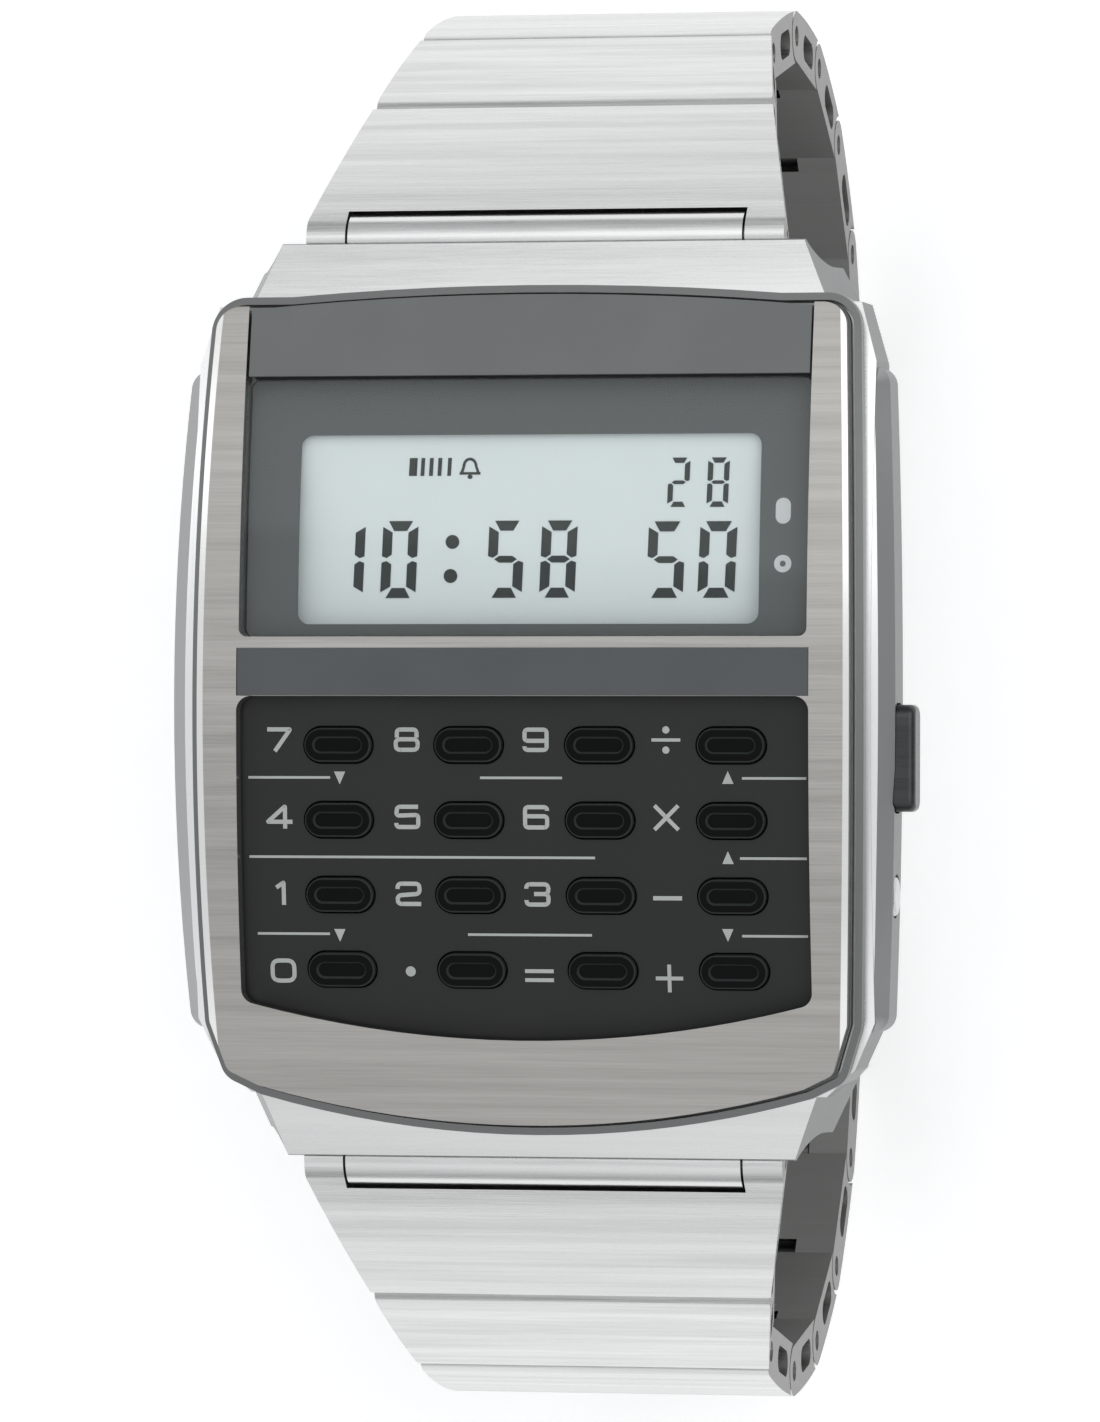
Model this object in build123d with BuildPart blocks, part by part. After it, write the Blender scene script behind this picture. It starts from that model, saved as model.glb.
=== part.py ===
from build123d import *
from math import cos, radians, sin, sqrt
import os

os.makedirs("parts", exist_ok=True)

# Calculator watch on a steel bracelet, standing on its closed clasp with the dial up.
# Millimetres; +X to the button side, +Y to the top of the dial, +Z out of the dial.
# The origin is the centre of the flat underside of the clasp cover.

# Bracelet chains: the same on both sides of the case
link_count = 7
first_link_length = 9.35
second_link_length = 6.7
link_length = 7.0
first_slope = 48.5
second_slope = 58.0
lug_reach = 21.8
lug_depth = 6.6
lug_width = 23.0
second_width = 19.3
third_width = 17.2
clasp_width = 17.0
ear_width = 2.1
ear_gap = 0.12
ear_radius = 1.25
socket_gap = 0.2
link_wall = 0.6
link_arch = 0.15
link_neck_rise = 0.1
link_neck_fall = 0.8
link_hood_wall = 0.3
link_hood_gap = 0.1
link_hood_start = 40.0
link_hood_end = 160.0
blunt_gap = 2.1
link_pin_radius = 0.5
bar_pin_radius = 0.7
bar_tip_radius = 0.4
bar_tip_length = 0.8
pin_running_gap = 0.05
pin_seat_gap = 0.01
pin_inset = 0.15

# Clasp: a cover plate with two blades folded flat inside it
clasp_pivot_height = 1.35
cover_thickness = 0.8
cover_wall = 0.7
cover_wall_height = 2.4
cover_far_end = 13.9
cover_bevel = 0.25
blade_half_width = 5.0
blade_thickness = 0.6
blade_joint_radius = 0.7
blade_joint_gap = 0.15
blade_knuckle_half_width = 2.9
blade_pin_radius = 0.35
cover_joint_reach = 12.6
cover_joint_height = 1.6
blade_joint_reach = 12.4
blade_joint_height = 2.0
middle_blade_height = 1.2
inner_blade_height = 2.45
inner_end_length = 1.1
inner_end_height = 0.6

# Face of the case: one arc along Y, with every top surface parallel to it
face_radius = 80.0
bezel_thickness = 1.2
bezel_half_width = 15.5
bezel_top_half_width = 15.0
bezel_top = 18.5
bezel_flank_low = 15.2
bezel_flank_half_width = 15.2
bezel_corner_half_width = 14.45
bezel_corner_low = 17.5
bezel_foot_half_width = 13.0
bezel_foot_low = 18.2
bezel_bottom = 20.0
bezel_bevel = 0.3
arm_round = 1.15
foot_round = 0.6

# Window with crystal, mask and gasket
window_half_width = 13.5
window_low = 2.9
window_high = 15.05
window_round = 0.4
crystal_gap = 0.05
crystal_sink = 0.3
crystal_thickness = 1.1
mask_thickness = 0.1
gasket_thickness = 0.2
gasket_width = 0.55
lcd_view_half_width = 11.0
lcd_view_low = 3.5
lcd_view_high = 12.4
lcd_view_round = 0.55

# Dark bar above the window and inlay strip in the crossbar
bar_gap = 0.12
bar_sink = 0.1
bar_side_high = 18.35
bar_middle_high = 18.98
bar_bevel = 0.3
strip_high = 2.38
strip_recess = 0.35
strip_sink = 0.06
strip_gap = 0.03

# Keypad
keypad_half_width = 13.6
keypad_high = 0.12
keypad_corner_low = -14.2
keypad_bottom = -16.0
keypad_round = 0.7
plate_margin = 0.35
plate_gap = 0.05
plate_thickness = 0.6
plate_ledge = 0.5
key_first_x = -8.95
key_pitch_x = 6.24
key_first_y = -2.2
key_pitch_y = 3.57
key_length = 3.2
key_width = 1.6
key_rise = 0.3
key_round = 0.12
key_rim = 0.4
key_dish = 0.15
key_dish_slope = 30.0
key_gap = 0.1
key_flange = 0.25
key_flange_thickness = 0.35
key_flange_gap = 0.05
key_travel = 0.4
key_pip_radius = 0.5
key_rows = [
    ["key_7", "key_8", "key_9", "key_divide"],
    ["key_4", "key_5", "key_6", "key_times"],
    ["key_1", "key_2", "key_3", "key_minus"],
    ["key_0", "key_point", "key_equals", "key_plus"],
]

# Case body
shoulder_width = 0.5
dial_groove_width = 0.15
dial_groove_depth = 0.5
case_depth = 7.4
case_top_depth = 1.95
case_half_width = 16.2
case_flank_reach = 15.8
case_end_half_width = 15.4
case_end_reach = 18.6
case_flank_low = 15.1
case_corner_half_width = 15.2
case_corner_low = 17.3
case_foot_half_width = 13.8
upper_hood_half_width = 15.2
upper_hood_end_half_width = 13.0
lower_hood_half_width = 14.7
lower_hood_end_half_width = 12.65
hood_start = 18.0
hood_end_reach = 22.3
hood_tip_reach = 21.85
hood_draft = 17.0
skin_depth = 2.3
cavity_half_width = 14.4
cavity_low = -16.8
cavity_high = 15.4
cavity_round = 1.5
rail_half_width = 17.25
rail_end_half_width = 16.7
rail_reach = 15.6
rail_top_depth = 2.0
rail_low_depth = 5.0
rail_round = 0.9
rail_bevel = 0.7
lug_barrel_width = 19.0
lug_neck = 0.9

# Case back, its seal and screws
back_thickness = 0.8
back_half_width = 15.2
back_high = 19.5
back_low = -19.9
back_corner = 2.6
back_bevel = 0.3
seal_margin = 0.35
seal_width = 0.6
seal_depth = 0.5
screw_x = 12.0
screw_high = 17.7
screw_low = -18.7
screw_radius = 0.45
screw_length = 2.6
screw_head_radius = 0.95
screw_head_thickness = 0.5
screw_gap = 0.03
screw_slot_width = 0.25
screw_slot_depth = 0.2

# Module: display, board, frame, cell and sounder
lcd_half_width = 11.6
lcd_low = 3.2
lcd_high = 12.8
lcd_top_depth = 2.75
lcd_thickness = 1.45
lcd_ledge = 0.6
lcd_glass_share = 0.5
strip_connector_width = 1.1
board_top_depth = 4.6
board_thickness = 0.6
board_half_width = 12.2
board_low = -16.1
board_high = 14.7
module_half_width = 12.7
module_margin = 0.4
module_gap = 0.08
module_rim_depth = 4.15
module_low_depth = 7.0
battery_radius = 10.0
battery_thickness = 1.6
battery_y = 2.0
battery_gap = 0.15
battery_step = 0.25
clip_half_length = 12.2
clip_half_width = 2.0
clip_thickness = 0.15
clip_tab = 0.9
mat_thickness = 0.7
mat_half_width = 12.0
mat_high = -0.9
mat_low = -15.4
chip_size = 5.0
chip_y = -12.6
chip_thickness = 0.7
quartz_radius = 0.7
quartz_length = 5.0
quartz_x = -8.4
quartz_y = -12.6
pocket_gap = 0.3
sounder_radius = 8.0
sounder_thickness = 0.15
sounder_y = -6.0
contact_x = 5.2
contact_y = -9.9
contact_radius = 0.55
contact_wire = 0.1
contact_turns = 5
contact_hole_gap = 0.3

# Buttons in the right flank
button_depth = 3.75
mode_y = -2.75
mode_length = 5.0
mode_height = 1.9
mode_head_length = 1.85
mode_round = 0.6
mode_travel = 0.8
adjust_y = -9.2
adjust_radius = 0.95
adjust_head_length = 1.15
adjust_round = 0.25
adjust_travel = 0.5
adjust_scoop_radius = 2.3
adjust_scoop_x = 18.9
button_gap = 0.08
button_wall = 0.6
button_head_gap = 0.5
stem_radius = 0.45
stem_gap = 0.05
stem_clip_radius = 0.95
stem_clip_thickness = 0.4
stem_clip_gap = 0.06
spring_radius = 0.7
spring_wire = 0.07
spring_turns = 2

# Cuts run past the faces that they open by this much
overrun = 2.0

# Places worked out from the sizes above
link_lengths = [first_link_length, second_link_length] + [link_length] * (link_count - 2)
link_bend = (180 - second_slope) / (link_count - 1)
link_slopes = [first_slope] + [second_slope + link_bend * step for step in range(link_count - 1)]
width_step = (third_width - clasp_width) / (link_count - 2)
even_widths = [third_width - width_step * step for step in range(link_count - 1)]
pivot_widths = [lug_width, second_width] + even_widths
pivot_reach = [lug_reach]
pivot_drop = [0.0]
for length, slope in zip(link_lengths, link_slopes):
    pivot_reach.append(pivot_reach[-1] + length * cos(radians(slope)))
    pivot_drop.append(pivot_drop[-1] + length * sin(radians(slope)))
lug_height = clasp_pivot_height + pivot_drop[-1]
face_height = lug_height + lug_depth
clasp_reach = pivot_reach[-1]
button_floor = cavity_half_width + button_wall
stem_start = cavity_half_width - stem_clip_gap - stem_clip_thickness
mode_head_start = button_floor + button_head_gap + mode_travel
adjust_head_start = button_floor + button_head_gap + adjust_travel
socket_radius = ear_radius + socket_gap
link_hood_radius = ear_radius - link_hood_wall
link_barrel_radius = link_hood_radius - link_hood_gap
lcd_low_depth = lcd_top_depth + lcd_thickness
board_low_depth = board_top_depth + board_thickness
crystal_low_depth = crystal_sink + crystal_thickness
mask_low_depth = crystal_low_depth + mask_thickness
seat_depth = mask_low_depth + gasket_thickness
plate_low_depth = bezel_thickness + plate_thickness
key_low_depth = plate_low_depth + key_flange_gap + key_flange_thickness
full_height = face_height + overrun


def save(piece, name):
    """Label a finished piece and write it under its own name."""
    piece.part.label = name
    export_step(piece.part, f"parts/{name}.step")


def bow(y):
    """Drop of the bent face at a place along Y."""
    return face_radius - sqrt(face_radius**2 - y**2)


def level(depth):
    """Horizontal plane at a depth below the highest line of the face."""
    return Plane.XY.offset(face_height - depth)


def face_band(top_depth, low_depth, reach=hood_end_reach):
    """Side section of a layer parallel to the face, between two depths."""
    with BuildSketch(Plane.YZ) as band:
        with Locations((0, face_height - face_radius)):
            Circle(face_radius - top_depth)
            Circle(face_radius - low_depth, mode=Mode.SUBTRACT)
        with Locations((0, face_height)):
            Rectangle(2 * reach, 2 * case_depth + 2 * overrun, mode=Mode.INTERSECT)
    return band.sketch


def bezel_outline(grow=0.0):
    """Plan outline of the bezel, from the rounded arms down to the arched foot, on the ground plane."""
    with BuildSketch() as outline:
        with BuildLine():
            right = Polyline(
                (bezel_flank_half_width, -bezel_flank_low),
                (bezel_corner_half_width, -bezel_corner_low),
                (bezel_foot_half_width, -bezel_foot_low),
            )
            ThreePointArc(right @ 1, (0, -bezel_bottom), (-bezel_foot_half_width, -bezel_foot_low))
            left = Polyline(
                (-bezel_foot_half_width, -bezel_foot_low),
                (-bezel_corner_half_width, -bezel_corner_low),
                (-bezel_flank_half_width, -bezel_flank_low),
            )
            ThreePointArc(left @ 1, (-bezel_half_width, 0), (-bezel_top_half_width, bezel_top))
            Line((-bezel_top_half_width, bezel_top), (bezel_top_half_width, bezel_top))
            ThreePointArc((bezel_top_half_width, bezel_top), (bezel_half_width, 0), right @ 0)
        make_face()
        foot = outline.vertices().filter_by_position(Axis.Y, -bezel_bottom, 0)
        fillet(foot, foot_round)
        fillet(outline.vertices().group_by(Axis.Y)[-1], arm_round)
        if grow:
            offset(amount=grow)
    return outline.sketch


def bar_outline():
    """Plan outline of the bar above the window, with its arched top edge."""
    bar_side = window_half_width - bar_gap
    bar_low = window_high + bar_gap
    with BuildSketch() as outline:
        with BuildLine():
            Polyline(
                (-bar_side, bar_side_high),
                (-bar_side, bar_low),
                (bar_side, bar_low),
                (bar_side, bar_side_high),
            )
            ThreePointArc((bar_side, bar_side_high), (0, bar_middle_high), (-bar_side, bar_side_high))
        make_face()
    return outline.sketch


def dial_outline(grow=0.0):
    """Plan outline of the bezel and the bar together, larger all round by the given amount."""
    with BuildSketch() as outline:
        add(bezel_outline())
        add(bar_outline())
        if grow:
            offset(amount=grow)
    return outline.sketch


def window_outline(shrink, high=window_high):
    """Plan rectangle of the window, smaller all round by the given amount."""
    with BuildSketch() as outline:
        with Locations((0, (window_low + high) / 2)):
            RectangleRounded(
                2 * (window_half_width - shrink),
                high - window_low - 2 * shrink,
                window_round,
            )
    return outline.sketch


def keypad_outline(grow=0.0):
    """Plan outline of the keypad opening, with its arched lower edge."""
    with BuildSketch() as outline:
        with BuildLine():
            Polyline(
                (keypad_half_width, keypad_corner_low),
                (keypad_half_width, keypad_high),
                (-keypad_half_width, keypad_high),
                (-keypad_half_width, keypad_corner_low),
            )
            ThreePointArc(
                (-keypad_half_width, keypad_corner_low),
                (0, keypad_bottom),
                (keypad_half_width, keypad_corner_low),
            )
        make_face()
        fillet(outline.vertices(), keypad_round)
        if grow:
            offset(amount=grow)
    return outline.sketch


def key_plane(row, column):
    """Plane that touches the face over a key, with its local z out of the face."""
    x = key_first_x + column * key_pitch_x
    y = key_first_y - row * key_pitch_y
    return Plane(
        origin=(x, y, face_height - bow(y)),
        x_dir=(1, 0, 0),
        z_dir=(0, y / face_radius, sqrt(1 - (y / face_radius) ** 2)),
    )


key_planes = {
    name: key_plane(row, column) for row, names in enumerate(key_rows) for column, name in enumerate(names)
}


def cavity_outline(grow=0.0):
    """Plan outline of the module cavity in the case."""
    with BuildSketch() as outline:
        with Locations((0, (cavity_low + cavity_high) / 2)):
            RectangleRounded(
                2 * (cavity_half_width + grow),
                cavity_high - cavity_low + 2 * grow,
                cavity_round + grow,
            )
    return outline.sketch


# Bezel: one brushed steel plate with the window slot, the keypad opening and the strip recess
with BuildPart() as bezel:
    extrude(face_band(0, bezel_thickness), amount=bezel_half_width + overrun, both=True)
    extrude(bezel_outline(), amount=full_height, mode=Mode.INTERSECT)
    extrude(window_outline(0, bezel_top + overrun), amount=full_height, mode=Mode.SUBTRACT)
    extrude(keypad_outline(), amount=full_height, mode=Mode.SUBTRACT)
    top_face = bezel.faces().filter_by(GeomType.CYLINDER).sort_by(SortBy.AREA)[-1]
    chamfer(top_face.edges(), length=bezel_bevel)
    with BuildSketch(level(strip_recess)) as strip_pocket:
        with Locations((0, (keypad_high + strip_high) / 2)):
            Rectangle(2 * keypad_half_width, strip_high - keypad_high)
    extrude(amount=overrun, mode=Mode.SUBTRACT)
save(bezel, "bezel")

# Inlay strip in the crossbar between window and keypad
with BuildPart() as center_strip:
    with BuildSketch(level(strip_recess)):
        with Locations((0, (keypad_high + strip_high) / 2)):
            Rectangle(2 * (keypad_half_width - strip_gap), strip_high - keypad_high - 2 * strip_gap)
    extrude(amount=strip_recess - strip_sink)
save(center_strip, "center_strip")

# Bar that closes the window slot at the top of the dial
with BuildPart() as upper_bar:
    extrude(face_band(bar_sink, bezel_thickness), amount=window_half_width, both=True)
    extrude(bar_outline(), amount=full_height, mode=Mode.INTERSECT)
    bar_top = upper_bar.faces().filter_by(GeomType.CYLINDER).sort_by(SortBy.AREA)[-1]
    chamfer(bar_top.edges(), length=bar_bevel)
save(upper_bar, "upper_bar")

# Crystal, the mask behind it and the gasket that it is pressed on
with BuildPart() as crystal:
    extrude(face_band(crystal_sink, crystal_low_depth), amount=window_half_width, both=True)
    extrude(window_outline(crystal_gap), amount=full_height, mode=Mode.INTERSECT)
save(crystal, "crystal")

with BuildPart() as dial_mask:
    extrude(face_band(crystal_low_depth, mask_low_depth), amount=window_half_width, both=True)
    extrude(window_outline(crystal_gap), amount=full_height, mode=Mode.INTERSECT)
    with BuildSketch():
        with Locations((0, (lcd_view_low + lcd_view_high) / 2)):
            RectangleRounded(2 * lcd_view_half_width, lcd_view_high - lcd_view_low, lcd_view_round)
    extrude(amount=full_height, mode=Mode.SUBTRACT)
save(dial_mask, "dial_mask")

with BuildPart() as crystal_gasket:
    extrude(face_band(mask_low_depth, seat_depth), amount=window_half_width, both=True)
    extrude(window_outline(crystal_gap), amount=full_height, mode=Mode.INTERSECT)
    extrude(window_outline(crystal_gap + gasket_width), amount=full_height, mode=Mode.SUBTRACT)
save(crystal_gasket, "crystal_gasket")

# Keypad plate with a slot for each key
with BuildPart() as keypad_plate:
    extrude(face_band(bezel_thickness, plate_low_depth), amount=bezel_half_width, both=True)
    extrude(keypad_outline(plate_margin), amount=full_height, mode=Mode.INTERSECT)
    for plane in key_planes.values():
        with BuildSketch(plane.offset(-plate_low_depth - overrun)):
            SlotOverall(key_length + 2 * key_gap, key_width + 2 * key_gap)
        extrude(amount=plate_low_depth + overrun, mode=Mode.SUBTRACT)
save(keypad_plate, "keypad_plate")

# Keys: an oval cap with a flange that stays under the plate
for name, plane in key_planes.items():
    with BuildPart() as key:
        with BuildSketch(plane.offset(-key_low_depth)):
            SlotOverall(key_length, key_width)
        extrude(amount=key_low_depth - bezel_thickness + key_rise)
        key_top = key.faces().sort_by(Axis.Z)[-1]
        fillet(key_top.edges(), key_round)
        with BuildSketch(plane.offset(key_rise - bezel_thickness)):
            SlotOverall(key_length - 2 * key_rim, key_width - 2 * key_rim)
        extrude(amount=-key_dish, taper=key_dish_slope, mode=Mode.SUBTRACT)
        with BuildSketch(plane.offset(-key_low_depth)):
            SlotOverall(key_length + 2 * key_flange, key_width + 2 * key_flange)
        extrude(amount=key_flange_thickness)
    save(key, name)

# Rubber mat on the board, with a pip under each key
mat_top_depth = board_top_depth - mat_thickness
pip_top_depth = key_low_depth + key_travel + key_gap
with BuildPart() as key_mat:
    with BuildSketch(level(board_top_depth)):
        with Locations((0, (mat_low + mat_high) / 2)):
            Rectangle(2 * mat_half_width, mat_high - mat_low)
    extrude(amount=mat_thickness)
    for plane in key_planes.values():
        pip_height = plane.origin.Z - pip_top_depth * plane.z_dir.Z - (face_height - mat_top_depth)
        if pip_height > key_gap:
            with BuildSketch(plane.offset(-pip_top_depth)):
                Circle(key_pip_radius)
            extrude(amount=-(pip_height + mat_thickness / 2) / plane.z_dir.Z)
save(key_mat, "key_mat")

# Side rails: the widest line of the case, bowed in plan
with BuildPart() as rails:
    extrude(face_band(rail_top_depth, rail_low_depth), amount=rail_half_width, both=True)
    with BuildSketch() as rail_plan:
        with BuildLine():
            rail_end = (rail_end_half_width, rail_reach)
            left_rail = ThreePointArc(
                (-rail_end_half_width, -rail_reach),
                (-rail_half_width, 0),
                (-rail_end_half_width, rail_reach),
            )
            across = Line(left_rail @ 1, rail_end)
            right_rail = ThreePointArc(
                across @ 1,
                (rail_half_width, 0),
                (rail_end_half_width, -rail_reach),
            )
            Line(right_rail @ 1, left_rail @ 0)
        make_face()
        fillet(rail_plan.vertices(), rail_round)
    extrude(amount=full_height, mode=Mode.INTERSECT)
    rail_top = rails.faces().filter_by(GeomType.CYLINDER).sort_by(Axis.Z)[-1]
    chamfer(rail_top.edges(), length=rail_bevel)

# Seats in the skin of the case: one for the window, one for the keypad plate
with BuildPart() as window_seat:
    extrude(face_band(0, seat_depth), amount=window_half_width, both=True)
    extrude(window_outline(0), amount=full_height, mode=Mode.INTERSECT)

with BuildPart() as plate_seat:
    extrude(face_band(0, plate_low_depth), amount=bezel_half_width, both=True)
    extrude(keypad_outline(plate_margin + plate_gap), amount=full_height, mode=Mode.INTERSECT)

# Groove in the shoulder of the case, all round the bezel and the bar
with BuildPart() as dial_groove:
    extrude(
        face_band(0, bezel_thickness + dial_groove_depth),
        amount=bezel_half_width + shoulder_width,
        both=True,
    )
    extrude(dial_outline(dial_groove_width), amount=full_height, mode=Mode.INTERSECT)
    extrude(dial_outline(), amount=full_height, mode=Mode.SUBTRACT)

# Module cavity: a rounded block whose top is parallel to the face
with BuildPart() as cavity:
    extrude(face_band(skin_depth, case_depth + lug_depth), amount=cavity_half_width, both=True)
    extrude(cavity_outline(), amount=full_height, mode=Mode.INTERSECT)

# Case body: flanks, hoods over the bracelet ends, the shoulder under the bezel and the openings
mode_z = face_height - bow(mode_y) - button_depth
adjust_z = face_height - bow(adjust_y) - button_depth
screw_places = [(x, y) for x in (-screw_x, screw_x) for y in (screw_low, screw_high)]
with BuildPart() as case_body:
    with BuildSketch(level(case_depth)):
        Polygon(
            (case_half_width, -case_flank_low),
            (case_half_width, case_flank_reach),
            (case_end_half_width, case_end_reach),
            (-case_end_half_width, case_end_reach),
            (-case_half_width, case_flank_reach),
            (-case_half_width, -case_flank_low),
            (-case_corner_half_width, -case_corner_low),
            (-case_foot_half_width, -case_end_reach),
            (case_foot_half_width, -case_end_reach),
            (case_corner_half_width, -case_corner_low),
            align=None,
        )
    extrude(amount=case_depth)
    with BuildSketch(level(case_depth)):
        Polygon(
            (lower_hood_half_width, -hood_start),
            (upper_hood_half_width, hood_start),
            (upper_hood_end_half_width, hood_end_reach),
            (-upper_hood_end_half_width, hood_end_reach),
            (-upper_hood_half_width, hood_start),
            (-lower_hood_half_width, -hood_start),
            (-lower_hood_end_half_width, -hood_end_reach),
            (lower_hood_end_half_width, -hood_end_reach),
            align=None,
        )
    extrude(amount=case_depth, taper=hood_draft)
    extrude(
        face_band(case_top_depth, case_depth + lug_depth, hood_tip_reach),
        amount=case_half_width + overrun,
        both=True,
        mode=Mode.INTERSECT,
    )
    add(rails.part)
    # Shoulder that carries the bezel
    with BuildSketch(level(case_depth)):
        add(dial_outline(shoulder_width))
    extrude(amount=case_depth)
    extrude(
        face_band(-lug_depth, bezel_thickness),
        amount=case_half_width + overrun,
        both=True,
        mode=Mode.SUBTRACT,
    )
    add(dial_groove.part, mode=Mode.SUBTRACT)
    # Flat underside
    with BuildSketch(level(case_depth)):
        Rectangle(4 * case_half_width, 4 * case_half_width)
    extrude(amount=-lug_depth, mode=Mode.SUBTRACT)
    # Room for the bracelet ends, and a barrel that each of them turns on
    for side in (-1, 1):
        with BuildSketch(Plane.YZ):
            with Locations((side * lug_reach, lug_height)):
                Circle(socket_radius)
            with Locations((side * (lug_reach + socket_radius), lug_height - socket_radius)):
                Rectangle(4 * socket_radius, 2 * socket_radius)
        extrude(amount=lug_width, both=True, mode=Mode.SUBTRACT)
        with BuildSketch(Plane.YZ):
            with Locations((side * lug_reach, lug_height)):
                Circle(ear_radius)
            with Locations((side * (lug_reach - socket_radius / 2 - socket_gap), lug_height)):
                Rectangle(socket_radius + 2 * socket_gap, lug_neck)
        extrude(amount=lug_barrel_width / 2, both=True)
        with BuildSketch(Plane.YZ):
            with Locations((side * lug_reach, lug_height)):
                Circle(bar_pin_radius + pin_running_gap)
        extrude(amount=lug_width, both=True, mode=Mode.SUBTRACT)
    add(cavity.part, mode=Mode.SUBTRACT)
    # Display opening with the seat of the gasket
    extrude(window_outline(gasket_width + crystal_gap), amount=full_height, mode=Mode.SUBTRACT)
    add(window_seat.part, mode=Mode.SUBTRACT)
    # Keypad opening with the seat of the plate
    extrude(keypad_outline(-plate_ledge), amount=full_height, mode=Mode.SUBTRACT)
    add(plate_seat.part, mode=Mode.SUBTRACT)
    # Groove of the seal, and the screw holes
    with BuildSketch(level(case_depth)):
        add(cavity_outline(seal_margin + seal_width))
        add(cavity_outline(seal_margin), mode=Mode.SUBTRACT)
    extrude(amount=seal_depth, mode=Mode.SUBTRACT)
    with BuildSketch(level(case_depth)):
        with Locations(*screw_places):
            Circle(screw_radius + screw_gap)
    extrude(amount=screw_length, mode=Mode.SUBTRACT)
    # Mode button: a pocket for its head and a bore for its stem
    with BuildSketch(Plane.YZ.offset(button_floor)):
        with Locations((mode_y, mode_z)):
            RectangleRounded(mode_length + 2 * button_gap, mode_height + 2 * button_gap, mode_round)
        with Locations((adjust_y, adjust_z)):
            Circle(adjust_radius + button_gap)
    extrude(amount=case_half_width + rail_half_width, mode=Mode.SUBTRACT)
    with BuildSketch(Plane.YZ):
        with Locations((mode_y, mode_z), (adjust_y, adjust_z)):
            Circle(stem_radius + stem_gap)
    extrude(amount=button_floor, mode=Mode.SUBTRACT)
    # Scoop in the rail round the adjust button
    with Locations((adjust_scoop_x, adjust_y, adjust_z)):
        Sphere(adjust_scoop_radius, mode=Mode.SUBTRACT)
save(case_body, "case_body")

# Mode button: a rounded bar on a stem, held by a clip inside the case
with BuildPart() as mode_button:
    with BuildSketch(Plane.YZ.offset(mode_head_start)):
        with Locations((mode_y, mode_z)):
            RectangleRounded(mode_length, mode_height, mode_round)
    extrude(amount=mode_head_length)
    fillet(mode_button.faces().sort_by(Axis.X)[-1].edges(), mode_round / 2)
    with BuildSketch(Plane.YZ.offset(stem_start)):
        with Locations((mode_y, mode_z)):
            Circle(stem_clip_radius)
    extrude(amount=stem_clip_thickness)
    with BuildSketch(Plane.YZ.offset(stem_start)):
        with Locations((mode_y, mode_z)):
            Circle(stem_radius)
    extrude(amount=mode_head_start + mode_head_length / 2 - stem_start)
save(mode_button, "mode_button")

# Its return spring, drawn as short as the button presses it
with BuildPart() as mode_button_spring:
    spring_height = button_head_gap - 4 * spring_wire
    spring_start = (button_floor + 2 * spring_wire, mode_y, mode_z)
    with BuildLine() as coil:
        Helix(
            pitch=spring_height / spring_turns + spring_wire,
            height=spring_height,
            radius=spring_radius,
            center=spring_start,
            direction=(1, 0, 0),
        )
    with BuildSketch(Plane(origin=coil.line @ 0, z_dir=coil.line % 0)):
        Circle(spring_wire)
    sweep()
save(mode_button_spring, "mode_button_spring")

# Adjust button: a small round head in the scoop of the rail
with BuildPart() as adjust_button:
    with BuildSketch(Plane.YZ.offset(adjust_head_start)):
        with Locations((adjust_y, adjust_z)):
            Circle(adjust_radius)
    extrude(amount=adjust_head_length)
    fillet(adjust_button.faces().sort_by(Axis.X)[-1].edges(), adjust_round)
    with BuildSketch(Plane.YZ.offset(stem_start)):
        with Locations((adjust_y, adjust_z)):
            Circle(stem_clip_radius)
    extrude(amount=stem_clip_thickness)
    with BuildSketch(Plane.YZ.offset(stem_start)):
        with Locations((adjust_y, adjust_z)):
            Circle(stem_radius)
    extrude(amount=adjust_head_start + adjust_head_length / 2 - stem_start)
save(adjust_button, "adjust_button")

# Case back with a sunk hole for each screw, its seal and the four screws
back_low_depth = case_depth + back_thickness
with BuildPart() as case_back:
    with BuildSketch(level(back_low_depth)) as back_plan:
        with Locations((0, (back_low + back_high) / 2)):
            Rectangle(2 * back_half_width, back_high - back_low)
        chamfer(back_plan.vertices(), back_corner)
    extrude(amount=back_thickness)
    chamfer(case_back.faces().sort_by(Axis.Z)[0].edges(), length=back_bevel)
    with BuildSketch(level(back_low_depth)):
        with Locations(*screw_places):
            Circle(screw_head_radius + screw_gap)
    extrude(amount=screw_head_thickness, mode=Mode.SUBTRACT)
    with BuildSketch(level(back_low_depth)):
        with Locations(*screw_places):
            Circle(screw_radius + screw_gap)
    extrude(amount=back_thickness, mode=Mode.SUBTRACT)
save(case_back, "case_back")

with BuildPart() as back_gasket:
    with BuildSketch(level(case_depth)):
        add(cavity_outline(seal_margin + seal_width - screw_gap))
        add(cavity_outline(seal_margin + screw_gap), mode=Mode.SUBTRACT)
    extrude(amount=seal_depth - screw_gap)
save(back_gasket, "back_gasket")

with BuildPart() as back_screws:
    with BuildSketch(level(back_low_depth)):
        with Locations(*screw_places):
            Circle(screw_head_radius)
    extrude(amount=screw_head_thickness)
    with BuildSketch(level(back_low_depth)):
        with Locations(*screw_places):
            Circle(screw_radius)
    extrude(amount=screw_length)
    with BuildSketch(level(back_low_depth)):
        with Locations(*screw_places):
            Rectangle(2 * screw_head_radius, screw_slot_width)
            Rectangle(screw_slot_width, 2 * screw_head_radius)
    extrude(amount=screw_slot_depth, mode=Mode.SUBTRACT)
save(back_screws, "back_screws")

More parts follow.
